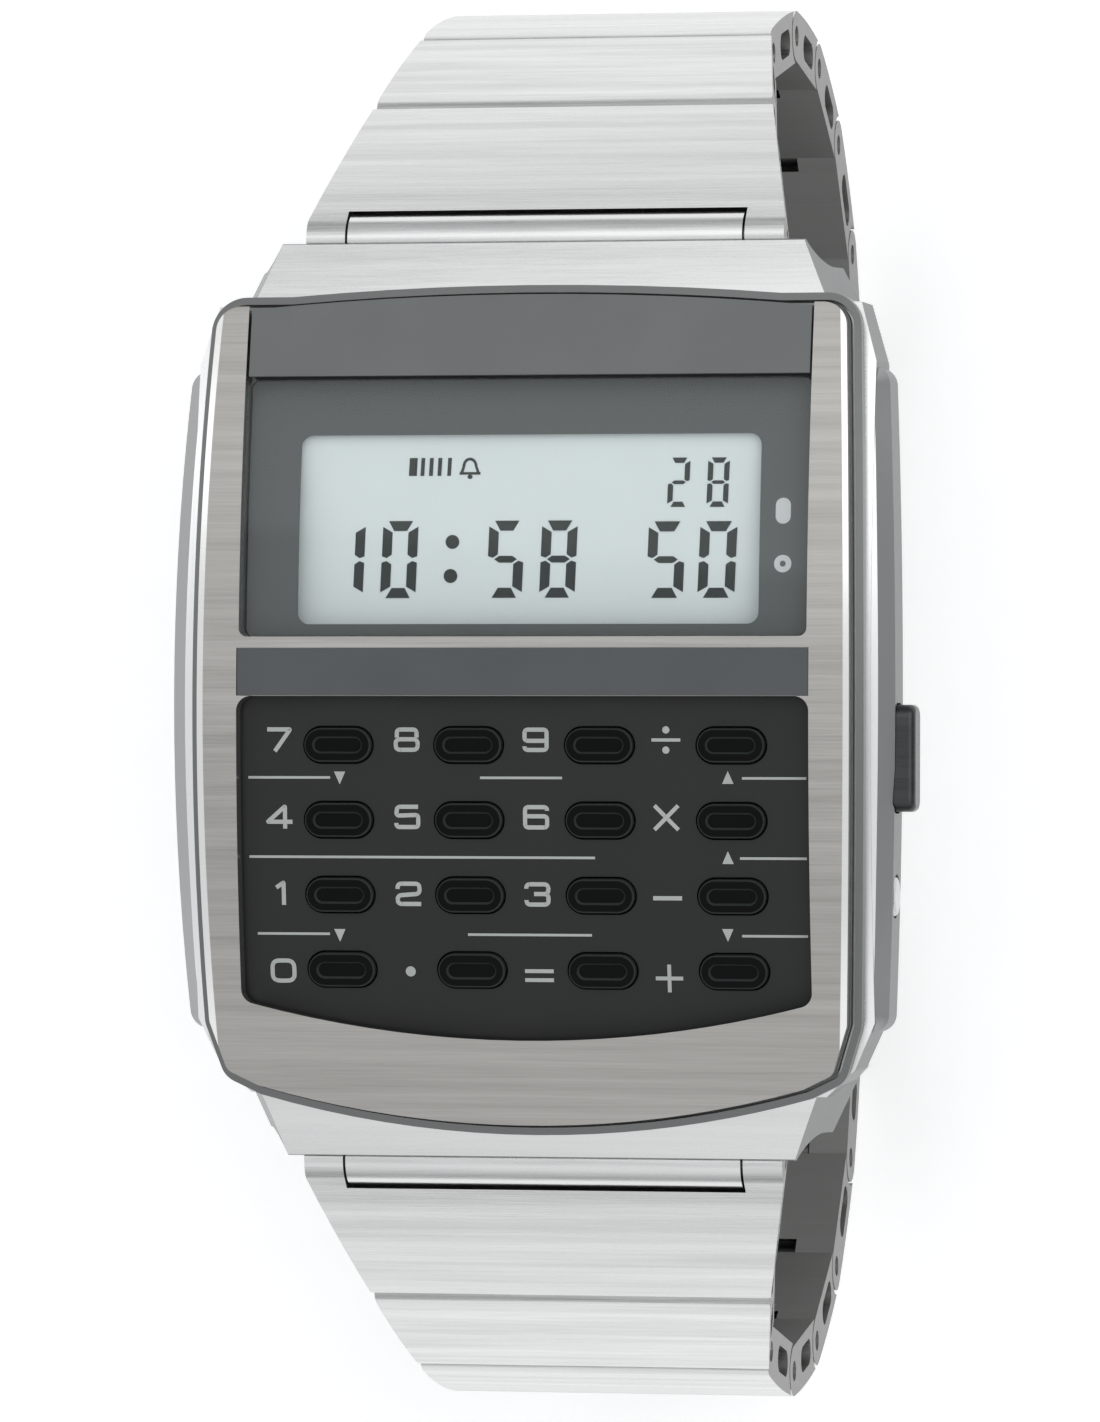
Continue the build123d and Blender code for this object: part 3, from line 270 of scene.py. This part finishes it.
def oval(x, y, half_width, half_height, corners=24):
    """Stadium outline: two half circles of the smaller half size, joined by straight sides."""
    turn = (np.arange(corners) + 0.5) / corners * 2 * np.pi
    radius = min(half_width, half_height)
    shift_x = (half_width - radius) * np.sign(np.cos(turn))
    shift_y = (half_height - radius) * np.sign(np.sin(turn))
    return np.stack([x + shift_x + radius * np.cos(turn), y + shift_y + radius * np.sin(turn)], axis=-1)


def between(first, second):
    """Band between two lines of equally many points: one quad for each step along them."""
    return list(np.stack([first[:-1], first[1:], second[1:], second[:-1]], axis=1))


def ring(x, y, outer, inner, corners=32):
    """Band between an outer and an inner circle."""
    turn = np.arange(corners + 1) / corners * 2 * np.pi
    wave = np.stack([np.cos(turn), np.sin(turn)], axis=-1)
    return between(wave * outer + (x, y), wave * inner + (x, y))


def frame_loop(half_width, low, high, radius, steps=40):
    """Closed loop of a rounded rectangle: eight points on each corner's arc, then even steps to the next."""
    signs = np.array([(1, 1), (-1, 1), (-1, -1), (1, -1)])
    centres = (0, (low + high) / 2) + signs * (half_width - radius, (high - low) / 2 - radius)
    turns = (np.arange(4)[:, None] + np.linspace(0, 1, 8)) * np.pi / 2
    arcs = centres[:, None] + radius * np.stack([np.cos(turns), np.sin(turns)], axis=-1)
    share = np.linspace(0, 1, steps + 2)[1:-1, None]
    sides = arcs[:, -1:] * (1 - share) + np.roll(arcs[:, :1], -1, axis=0) * share
    loop = np.concatenate([arcs, sides], axis=1).reshape(-1, 2)
    return np.concatenate([loop, loop[:1]])


# the ink's face, from the crystal's rim to the display's opening, a little above the crystal's lower face
crystal_rim = frame_loop(13.44, 2.96, 14.99, 0.36)
display_opening = frame_loop(11.0, 3.5, 12.4, 0.55)
printed("mask_face", between(crystal_rim, display_opening), bent, 1.37, mask_ink, step=0)

# light printing ink: pale grey and matt, with the faint mottle of a screen print
light_ink = sprayed_paint("light_grey_printing_ink", "c4c6c6", "d6d8d8", grain=0.1, rough=0.6, relief=0.0005)
window_marks = [oval(12.1, 8.76, 0.36, 0.61)] + ring(12.12, 6.29, 0.41, 0.14)
printed("window_marks", window_marks, bent, 1.35, light_ink)


# Display: a liquid-crystal cell, two thin glass sheets with a silvery reflector behind them. Where it is
# switched on it shows near-black segments; the rest is a pale grey-green. It lies level on two rows of
# contact rubber.

# glass over a reflector: pale and nearly even, with a satin gloss
dress(sprayed_paint("reflective_liquid_crystal_cell", "e9edec", "f0f4f3", grain=0.3, rough=0.45,
                    relief=0.0002), "lcd_panel")

# switched-on liquid crystal: a soft black with a green cast
segment_black = sprayed_paint("switched_on_liquid_crystal", "1c2522", "27302d", grain=0.3, rough=0.5,
                              relief=0.0002)


def flat(x, y, depth):
    """Points on a level plane at a depth below the crown of the face, millimetres to metres."""
    return np.stack([x, y, crown - depth], axis=-1) / 1000


def digit(shape, left, low, width, height, thick, gap=0.07, lean=0.045):
    """The lit segments of one seven-segment digit as outlines. Top, upper left side and middle are drawn,
    with mitred ends a gap apart, and the others are their mirror images. Then x grows by the lean times y,
    which tips the digit a little to the right."""
    cut, half_mid, mid = 0.42 * thick, 0.34 * thick, height / 2
    top = np.array([(cut + gap, height), (width - cut - gap, height),
                    (width - thick - gap, height - thick), (thick + gap, height - thick)])
    side = np.array([(0, height - cut - gap), (thick, height - thick - gap), (thick, mid + half_mid + gap),
                     (thick / 2, mid + gap), (0, mid + gap + half_mid / 2)])
    middle = np.array([(thick / 2 + gap, mid), (thick + gap, mid + half_mid),
                       (width - thick - gap, mid + half_mid), (width - thick / 2 - gap, mid),
                       (width - thick - gap, mid - half_mid), (thick + gap, mid - half_mid)])
    across = side * (-1, 1) + (width, 0)
    bars = {"a": top, "b": across, "c": across * (1, -1) + (0, height), "d": top * (1, -1) + (0, height),
            "e": side * (1, -1) + (0, height), "f": side, "g": middle}
    lit = {"0": "abcdef", "1": "bc", "2": "abged", "5": "afgcd", "8": "abcdefg"}[shape]
    return [bars[letter] @ np.array([(1, 0), (lean, 1)]) + (left, low) for letter in lit]


# hours and minutes, seconds, and a smaller number above them, with the colon's two dots
segments = []
for shape, left in (("1", -9.84), ("0", -7.3), ("5", -2.2), ("8", 0.33)):
    segments += digit(shape, left, low=4.75, width=1.70, height=3.62, thick=0.47)
for shape, left in (("5", 5.42), ("0", 7.87)):
    segments += digit(shape, left, low=4.73, width=1.76, height=3.58, thick=0.47)
for shape, left in (("2", 6.43), ("8", 8.30)):
    segments += digit(shape, left, low=8.98, width=1.02, height=2.31, thick=0.25, gap=0.05)
segments += [oval(-3.82, 7.38, 0.33, 0.33), oval(-3.91, 5.78, 0.33, 0.33)]

# five upright bars, the first one wider
for left, width in ((-5.92, 0.38), (-5.36, 0.18), (-4.95, 0.18), (-4.54, 0.18), (-4.08, 0.18)):
    segments.append(np.array([(0, 0), (width, 0), (width + 0.05, 0.84), (0.05, 0.84)]) + (left, 10.49))

# bell: an open dome, a flare on each side, a sill and a clapper
bell = np.array([-2.98, 10.92])
dome_turn = np.linspace(0, np.pi, 13)
dome = np.stack([np.cos(dome_turn), np.sin(dome_turn)], axis=-1)
segments += between(dome * (0.36, 0.42) + bell, dome * (0.23, 0.29) + bell)
for side in (-1, 1):
    segments.append(np.array([(0.23, 0.0), (0.36, 0.0), (0.50, -0.38), (0.36, -0.38)]) * (side, 1) + bell)
segments.append(np.array([(-0.5, -0.38), (0.5, -0.38), (0.5, -0.26), (-0.5, -0.26)]) + bell)
segments.append(oval(bell[0], bell[1] - 0.48, 0.12, 0.1))
printed("display_segments", segments, flat, 2.735, segment_black)


# Keypad plate: black moulded plastic with a satin skin, bent like the face and held under the bezel. The
# signs beside the keys, the dividing lines and the small arrows are printed on it in light grey.

# moulded plastic: nearly black, with a fine even grain that spreads the light
dress(sprayed_paint("satin_black_keypad_plastic", "131513", "1c1f1c", grain=0.18, rough=0.5, relief=0.004,
                    gloss=0.4), "keypad_plate")

# keypad ink: light grey like the window's marks, and darker, because it is printed thin on black
keypad_ink = sprayed_paint("light_grey_keypad_ink", "a2a6a4", "b8bcba", grain=0.1, rough=0.6, relief=0.0005)

# centres of the signs' four columns and four rows, and the height of the ink just above the plate
label_x = (-11.8, -5.67, 0.49, 6.68)
label_y = (-1.92, -5.54, -9.15, -12.80)
sign_depth = 1.195


def rounded(points, radius, closed):
    """A polyline with its corners rounded: each corner is a quadratic curve between the points on its two
    sides that lie one radius away, worked out for all corners at once."""
    points = np.asarray(points, dtype=float)
    before, after = np.roll(points, 1, axis=0), np.roll(points, -1, axis=0)
    behind = (before - points) / np.linalg.norm(before - points, axis=1, keepdims=True) * radius
    ahead = (after - points) / np.linalg.norm(after - points, axis=1, keepdims=True) * radius
    t = np.linspace(0, 1, 7)[None, :, None]
    ends = (points + behind)[:, None] * (1 - t) ** 2 + (points + ahead)[:, None] * t ** 2
    curve = ends + points[:, None] * 2 * t * (1 - t)
    if closed:
        line = curve.reshape(-1, 2)
        return np.concatenate([line, line[:1]])
    return np.concatenate([points[:1], curve[1:-1].reshape(-1, 2), points[-1:]])


def stroke(line, thick):
    """A ribbon of even width along a line, its ends cut square. At each point it reaches half its width to
    both sides, square to the mean direction of the steps that meet there."""
    step = np.diff(line, axis=0)
    step /= np.linalg.norm(step, axis=1, keepdims=True)
    way = np.concatenate([step[:1], step[:-1] + step[1:], step[-1:]])
    if np.allclose(line[0], line[-1]):
        way[0] = way[-1] = step[0] + step[-1]
    way /= np.linalg.norm(way, axis=1, keepdims=True)
    out = np.stack([-way[:, 1], way[:, 0]], axis=1) * thick / 2
    return between(line + out, line - out)


# wide plain numbers, each drawn as strokes in a box one wide and one high: points, corner radius, closed
number_strokes = {
    "0": [([(0, 0), (1, 0), (1, 1), (0, 1)], 0.34, True)],
    "1": [([(0.28, 0.78), (0.62, 1.03), (0.62, -0.08)], 0.04, False)],
    "2": [([(0, 0.74), (0, 1), (1, 1), (1, 0.5), (0, 0.42), (0, 0), (1.06, 0)], 0.2, False)],
    "3": [([(0, 0.78), (0, 1), (1, 1), (1, 0.52), (0.35, 0.52)], 0.2, False),
          ([(0.35, 0.52), (1, 0.52), (1, 0), (0, 0), (0, 0.22)], 0.2, False)],
    "4": [([(0.74, -0.1), (0.74, 1), (-0.05, 0.24), (1.08, 0.24)], 0.03, False)],
    "5": [([(1, 1), (0.04, 1), (0, 0.56), (1, 0.6), (1, 0), (0, 0), (0, 0.2)], 0.16, False)],
    "6": [([(1, 0.82), (1, 1), (0, 1), (0, 0), (1, 0), (1, 0.55), (0, 0.55)], 0.17, False)],
    "7": [([(-0.05, 1), (1, 1), (0.3, -0.08)], 0.05, False)],
    "8": [([(0, 0), (1, 0), (1, 0.52), (0, 0.52)], 0.22, True),
          ([(0.05, 0.6), (0.05, 1), (0.95, 1), (0.95, 0.6)], 0.18, False)],
    "9": [([(0, 0.18), (0, 0), (1, 0), (1, 1), (0, 1), (0, 0.45), (1, 0.45)], 0.17, False)],
}


def number(shape, x, y):
    """One number of the keypad as outlines: strokes 0.2 mm thick, 1.05 wide and 0.95 high between centres."""
    quads = []
    for points, radius, closed in number_strokes[shape]:
        quads += stroke((rounded(points, radius, closed) - 0.5) * (1.05, 0.95) + (x, y), 0.2)
    return quads


def stripe(x, y, length, thick, turn=0.0):
    """A straight bar of a sign, centred and turned by an angle in degrees."""
    half = np.array([cos(radians(turn)), sin(radians(turn))]) * length / 2
    return stroke(np.array([(x, y) - half, (x, y) + half]), thick)


# numbers left of their keys, then the signs: divide, times, minus, point, equals, plus
signs = []
for y, numbers in zip(label_y, ("789", "456", "123", "0")):
    for x, shape in zip(label_x, numbers):
        signs += number(shape, x, y)
sign_length = 1.37
signs += stripe(label_x[3], label_y[0], sign_length, 0.15)
signs += [oval(label_x[3], label_y[0] + 0.47, 0.17, 0.17), oval(label_x[3], label_y[0] - 0.47, 0.17, 0.17)]
signs += stripe(label_x[3], label_y[1], 1.6, 0.19, 45) + stripe(label_x[3], label_y[1], 1.6, 0.19, -45)
signs += stripe(label_x[3], label_y[2] - 0.15, sign_length, 0.2)
signs.append(oval(label_x[1], label_y[3], 0.24, 0.24))
for rise in (0.05, -0.37):
    signs += stripe(label_x[2], label_y[3] + rise, sign_length, 0.18)
for turn in (0, 90):
    signs += stripe(label_x[3], label_y[3] - 0.25, 1.3, 0.18, turn)

# dividing lines between the rows of keys, and arrows that point up or down beside them
for y, spans in ((-3.70, ((-13.3, -9.36), (-2.17, 1.74), (10.27, 13.3))),
                 (-7.43, ((-13.3, 3.27), (10.14, 13.3))),
                 (-11.05, ((-12.98, -9.5), (-2.87, 3.05), (10.17, 13.28)))):
    for start, stop in spans:
        signs += stripe((start + stop) / 2, y, stop - start, 0.12)
for x, y, way in ((-8.9, -3.70, -1), (9.6, -3.68, 1), (9.57, -7.41, 1), (-9.02, -11.1, -1), (9.5, -11.0, -1)):
    signs.append(np.array([(-0.27, -0.28), (0.27, -0.28), (0, 0.32)]) * (1, way) + (x, y))
printed("keypad_signs", signs, bent, sign_depth, keypad_ink)


# Keys: sixteen oval caps moulded in plastic, each with a dished top and a flange that stays under the
# plate. They stand on a mat of moulded rubber that springs them back.

# moulded plastic: near-black and smoother than the plate; its bevels are painted paler, a painted highlight
# that draws each key's outline
key_names = [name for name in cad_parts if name.startswith("key_") and name != "key_mat"]
dress(sprayed_paint("moulded_dark_grey_key_plastic", "060707", "0a0b0b", grain=0.15, rough=0.30, relief=0.002,
                    gloss=0.08, edge=(leaning, 0.96, 0.85, "3c3f3f")), *key_names)
dress(black_rubber, "key_mat")


# Case body: resin moulded and plated with a satin silver. The hoods over the bracelet's ends are ground
# lightly from side to side. The rails are smooth and painted paler as a painted highlight; the shoulder round
# the bezel, the rails' bevels and the walls are duller and painted grey as painted shade.

def outboard(material, inner, outer):
    """Share of a further finish by the distance from the watch's middle line, limits in millimetres."""
    place = add(material, "ShaderNodeTexCoord", {}).outputs["Object"]
    parts = add(material, "ShaderNodeSeparateXYZ", {0: place})
    away = add(material, "ShaderNodeMath", {0: parts.outputs[0]}, operation="ABSOLUTE")
    return add(material, "ShaderNodeMapRange", {"Value": away.outputs[0], "From Min": inner / 1000,
                                                "From Max": outer / 1000, "To Max": largest_share}).outputs[0]


def shallow(material, deep, high):
    """Share of a further finish by the depth under the bent face, limits in millimetres: the depth is the
    face's radius less the distance from the axis of its arc, which runs along X."""
    axis = (0, 0, (crown - face_radius) / 1000)
    place = add(material, "ShaderNodeTexCoord", {}).outputs["Object"]
    across = add(material, "ShaderNodeVectorMath", {0: place, 1: (0, 1, 1)}, operation="MULTIPLY")
    arm = add(material, "ShaderNodeVectorMath", {0: across.outputs[0], 1: axis}, operation="SUBTRACT")
    reach = add(material, "ShaderNodeVectorMath", {0: arm.outputs[0]}, operation="LENGTH").outputs["Value"]
    return add(material, "ShaderNodeMapRange", {"Value": reach, "From Min": (face_radius - deep) / 1000,
                                                "From Max": (face_radius - high) / 1000,
                                                "To Max": largest_share}).outputs[0]


def rail_bevel(material, upright, level):
    """Share of a further finish on the leaning faces of the rails, 15 mm and more from the middle line."""
    shares = {0: leaning(material, upright, level), 1: outboard(material, 15.0, 15.2)}
    return add(material, "ShaderNodeMath", shares, operation="MULTIPLY").outputs[0]


# silver plating over resin: paler than the bezel and softly bright; the rails paler still, a painted
# highlight, and the shoulder, the rails' bevels and the walls grey, a painted shade
case_painted_highlight_and_shade = [(outboard, 15.6, 15.9, "f0f0f0", 0.25), (shallow, 1.75, 1.65, "606161", 0.35),
                 (rail_bevel, 0.95, 0.9, "888989", 0.35), (leaning, 0.42, 0.28, "707171", 0.4)]
dress(ground_metal("satin_silver_plated_resin", "d6d6d5", "e2e2e1", line=0.11, run=4.0, rough=(0.24, 0.32),
                   relief=0.002, others=case_painted_highlight_and_shade), "case_body")


# Buttons: a bar milled from steel, on a stem with a return spring, and a small round one turned from
# steel. Both slide in bores of the right flank.

# milled steel: dark grey with a satin gloss, its lines along the flank
dress(ground_metal("milled_steel_mode_button", "3e4040", "4a4c4c", line=0.09, run=2.0, rough=(0.25, 0.38),
                   relief=0.003, turn=90), "mode_button")

# turned steel: pale and bright
dress(ground_metal("turned_steel_adjust_button", "b4b6b6", "c8caca", line=0.08, run=1.0, rough=(0.2, 0.3),
                   relief=0.002), "adjust_button")

# rolled spring steel: grey with drawn lines; the cell's strap and the sounder's coil are made of it too
spring_steel = ground_metal("rolled_spring_steel", "9a9a98", "b0b0ae", line=0.07, run=3.0, rough=(0.22, 0.34),
                            relief=0.002)
dress(spring_steel, "mode_button_spring")


# Case back: stainless sheet with cut corners and a bevelled edge, ground the long way. Four sunk
# cross-head screws press it on a rubber seal.

# ground stainless steel: bright, with lines that run towards the bracelet
dress(ground_metal("long_ground_stainless_back", "b0b0b0", "c6c6c6", line=0.1, run=6.0, rough=(0.28, 0.4),
                   relief=0.004, turn=90), "case_back")

# turned steel: a little darker than the back, with short lines
dress(ground_metal("turned_steel_screws", "9c9ca0", "b2b2b6", line=0.06, run=0.8, rough=(0.22, 0.34),
                   relief=0.002), "back_screws")
dress(black_rubber, "back_gasket")


# Module: a circuit board with the processor and the quartz can soldered under it and the display's
# contact strips standing on it. A moulded frame carries the board and the coin cell, which a spring strap
# holds; the sounder's disc is glued to the case back.

# laminate under solder mask: leaf green with a thin clear gloss
dress(sprayed_paint("green_board_laminate", "1f5a34", "2a6a40", grain=0.2, rough=0.45, relief=0.003,
                    coat=0.4), "circuit_board")

# moulded resin: black and satin, with a fine grain
dress(sprayed_paint("black_chip_resin", "161616", "202020", grain=0.1, rough=0.5, relief=0.003),
      "processor_chip")

# conductive rubber in layers: matt dark grey
dress(sprayed_paint("grey_contact_rubber", "303032", "48484a", grain=0.1, rough=0.6, relief=0.002),
      "lcd_connectors")

# moulded plastic: warm off-white and satin
dress(sprayed_paint("off_white_moulded_frame", "c9c6ba", "d6d3c8", grain=0.2, rough=0.5, relief=0.003),
      "module_frame")

# nickel plating over steel: bright, with short fine lines
dress(ground_metal("nickel_plated_cell", "b6b6b4", "cacac8", line=0.08, run=1.2, rough=(0.2, 0.3),
                   relief=0.002), "battery")

# drawn steel: smooth and bright along its length
dress(ground_metal("drawn_steel_can", "a8a8aa", "bcbcbe", line=0.06, run=2.0, rough=(0.18, 0.28),
                   relief=0.002), "quartz_crystal")
dress(spring_steel, "battery_clip", "buzzer_spring")

# rolled brass: dull yellow, with a soft gloss
dress(ground_metal("brass_sounder_disc", "b89850", "ccae66", line=0.08, run=2.0, rough=(0.25, 0.36),
                   relief=0.002), "buzzer_disc")


# Bracelet: seven links on each side, stamped and folded from stainless sheet and ground from side to side.
# The sheet is ground before it is folded, so only the outer face shows it. A spring bar joins each first
# link to the case.

# height of the ring's middle above the floor, in metres
ring_middle = 0.022


def facing_in(material, outward, inward):
    """Share of a link's further finish: none where its normal points away from the ring's middle line by
    more than the first limit, the largest share where it does so by less than the second. The middle line
    runs along X, so the way out is the point's place less the line's height, with x left out."""
    spots = add(material, "ShaderNodeTexCoord", {})
    place = add(material, "ShaderNodeVectorMath", {0: spots.outputs["Object"], 1: (0, 1, 1)},
                operation="MULTIPLY")
    arm = add(material, "ShaderNodeVectorMath", {0: place.outputs[0], 1: (0, 0, ring_middle)},
              operation="SUBTRACT")
    out = add(material, "ShaderNodeVectorMath", {0: arm.outputs[0]}, operation="NORMALIZE")
    along = add(material, "ShaderNodeVectorMath", {0: out.outputs[0], 1: spots.outputs["Normal"]},
                operation="DOT_PRODUCT").outputs["Value"]
    return add(material, "ShaderNodeMapRange", {"Value": along, "From Min": outward, "From Max": inward,
                                                "To Max": largest_share}).outputs[0]


# folded stainless steel: bright, with side-to-side grinding lines, and a dull rolled skin inside
link_steel = ground_metal("folded_ground_stainless_links", "c6c6c5", "e2e2e1", line=0.1, run=5.0,
                          rough=(0.22, 0.34), relief=0.004, others=[(facing_in, 0.35, 0.2, "8a8a88", 0.5)])
dress(link_steel, *[f"{side}_link_{place}" for side in ("upper", "lower") for place in range(1, 8)])

# drawn steel: grey, smooth along its length
dress(ground_metal("drawn_steel_pins", "a2a2a4", "b8b8ba", line=0.06, run=3.0, rough=(0.2, 0.3),
                   relief=0.002), "upper_spring_bar", "lower_spring_bar")


# Clasp: a channel-shaped cover and two thin blades, stamped from stainless sheet. The blades turn on pins
# and fold flat inside the cover.

# ground stainless steel: bright, with lines across the band like the links
dress(ground_metal("ground_stainless_clasp_cover", "b8b8b8", "cccccc", line=0.1, run=5.0, rough=(0.24, 0.36),
                   relief=0.004), "clasp_cover")

# polished stainless steel: glossier than the cover, with faint lines along the band
dress(ground_metal("polished_stainless_blades", "b4b4b4", "c8c8c8", line=0.08, run=4.0, rough=(0.14, 0.24),
                   relief=0.002, turn=90), "clasp_middle_blade", "clasp_inner_blade")


# Floor: a pale matt board under the watch, with a grain of 2 mm. To the camera and in mirror-like surfaces
# it glows by a third of white besides the light that falls on it, so it shows as white there, and less
# where the watch shades it.
floor_board, floor_out = new_material("matt_white_studio_board")
floor_place = add(floor_board, "ShaderNodeTexCoord", {}).outputs["Object"]
floor_grain = add(floor_board, "ShaderNodeTexNoise", {"Vector": floor_place, "Scale": 500.0, "Detail": 2.0})
floor_tone = add(floor_board, "ShaderNodeMix", {0: floor_grain.outputs[0], 6: tone("f8f8f8"),
                                                7: tone("fcfcfc")}, data_type="RGBA")
floor_matt = add(floor_board, "ShaderNodeBsdfDiffuse", {"Color": floor_tone.outputs[2]})
floor_path = add(floor_board, "ShaderNodeLightPath", {}).outputs
floor_seen = add(floor_board, "ShaderNodeMath", {0: floor_path["Is Camera Ray"],
                                                 1: floor_path["Is Glossy Ray"]}, operation="MAXIMUM")
floor_both = add(floor_board, "ShaderNodeMath", {0: floor_seen.outputs[0],
                                                 1: floor_path["Is Transmission Ray"]}, operation="MAXIMUM")
floor_glow = add(floor_board, "ShaderNodeMath", {0: floor_both.outputs[0], 1: 0.33}, operation="MULTIPLY")
floor_lift = add(floor_board, "ShaderNodeEmission", {"Color": (1, 1, 1, 1),
                                                     "Strength": floor_glow.outputs[0]})
floor_sum = add(floor_board, "ShaderNodeAddShader", {0: floor_matt.outputs[0], 1: floor_lift.outputs[0]})

# a square 6 m wide, a fifth of a millimetre under the clasp
floor_mesh = bpy.data.meshes.new("studio_floor")
floor_mesh.from_pydata([(-3, -3, -0.0002), (3, -3, -0.0002), (3, 3, -0.0002), (-3, 3, -0.0002)],
                       [], [(0, 1, 2, 3)])
floor = bpy.data.objects.new("studio_floor", floor_mesh)
bpy.context.scene.collection.objects.link(floor)
floor.data.materials.append(finish(floor_board, floor_out, floor_sum.outputs[0]))


# Light: a pale room, brighter overhead than at the walls, with two large soft lamps above the watch. The
# key lamp hangs beyond the top of the dial and the weaker one before its foot, both towards the buttons.

# the room's strength is 0.35 at the horizon and 0.8 overhead, even between them
world = bpy.data.worlds.new("pale_room")
world.use_nodes = True
room_way = add(world, "ShaderNodeTexCoord", {}).outputs["Generated"]
room_height = add(world, "ShaderNodeSeparateXYZ", {0: room_way}).outputs[2]
room_level = add(world, "ShaderNodeMapRange", {"Value": room_height, "From Min": 0.0, "From Max": 1.0,
                                               "To Min": 0.35, "To Max": 0.8}).outputs[0]
room = world.node_tree.nodes["Background"]
room.inputs["Color"].default_value = (0.97, 0.98, 1.0, 1)
world.node_tree.links.new(room_level, room.inputs["Strength"])
bpy.context.scene.world = world


def lamp(name, place, power, size=1.2, target=(0, 0, 0.03)):
    """A square soft lamp that faces the watch, sizes in metres and power in watts."""
    light = bpy.data.lights.new(name, "AREA")
    light.shape, light.size, light.energy = "SQUARE", size, power
    holder = bpy.data.objects.new(name, light)
    bpy.context.scene.collection.objects.link(holder)
    holder.location = place
    holder.rotation_euler = (Vector(target) - Vector(place)).to_track_quat("-Z", "Y").to_euler()


lamp("key_lamp", (0.35, 0.45, 1.05), 3.8)
lamp("fill_lamp", (0.3, -0.7, 0.9), 1.4)


# Camera: a long lens 0.4 m from the dial, tipped 11 degrees towards the button side and a little towards
# the foot of the dial, and turned by a tenth of a degree.
side_tilt, foot_tilt, roll = radians(11.256), radians(-0.4), radians(0.116)
distance = 0.4
aim = Vector((0.001416, -0.000582, crown / 1000))
back = Vector((sin(side_tilt), sin(foot_tilt), cos(side_tilt))).normalized()
level_right = Vector((0, 1, 0)).cross(back).normalized()
level_up = back.cross(level_right)
right = level_right * cos(roll) + level_up * sin(roll)
up = level_up * cos(roll) - level_right * sin(roll)
camera_data = bpy.data.cameras.new("camera")
camera_data.lens, camera_data.sensor_width = 217.5, 36.0
camera_data.clip_start, camera_data.clip_end = 0.01, 10.0
camera = bpy.data.objects.new("camera", camera_data)
bpy.context.scene.collection.objects.link(camera)
turned = Matrix((right, up, back)).transposed().to_4x4()
camera.matrix_world = Matrix.Translation(aim + distance * back) @ turned
bpy.context.scene.camera = camera
bpy.context.scene.view_settings.view_transform = "Standard"
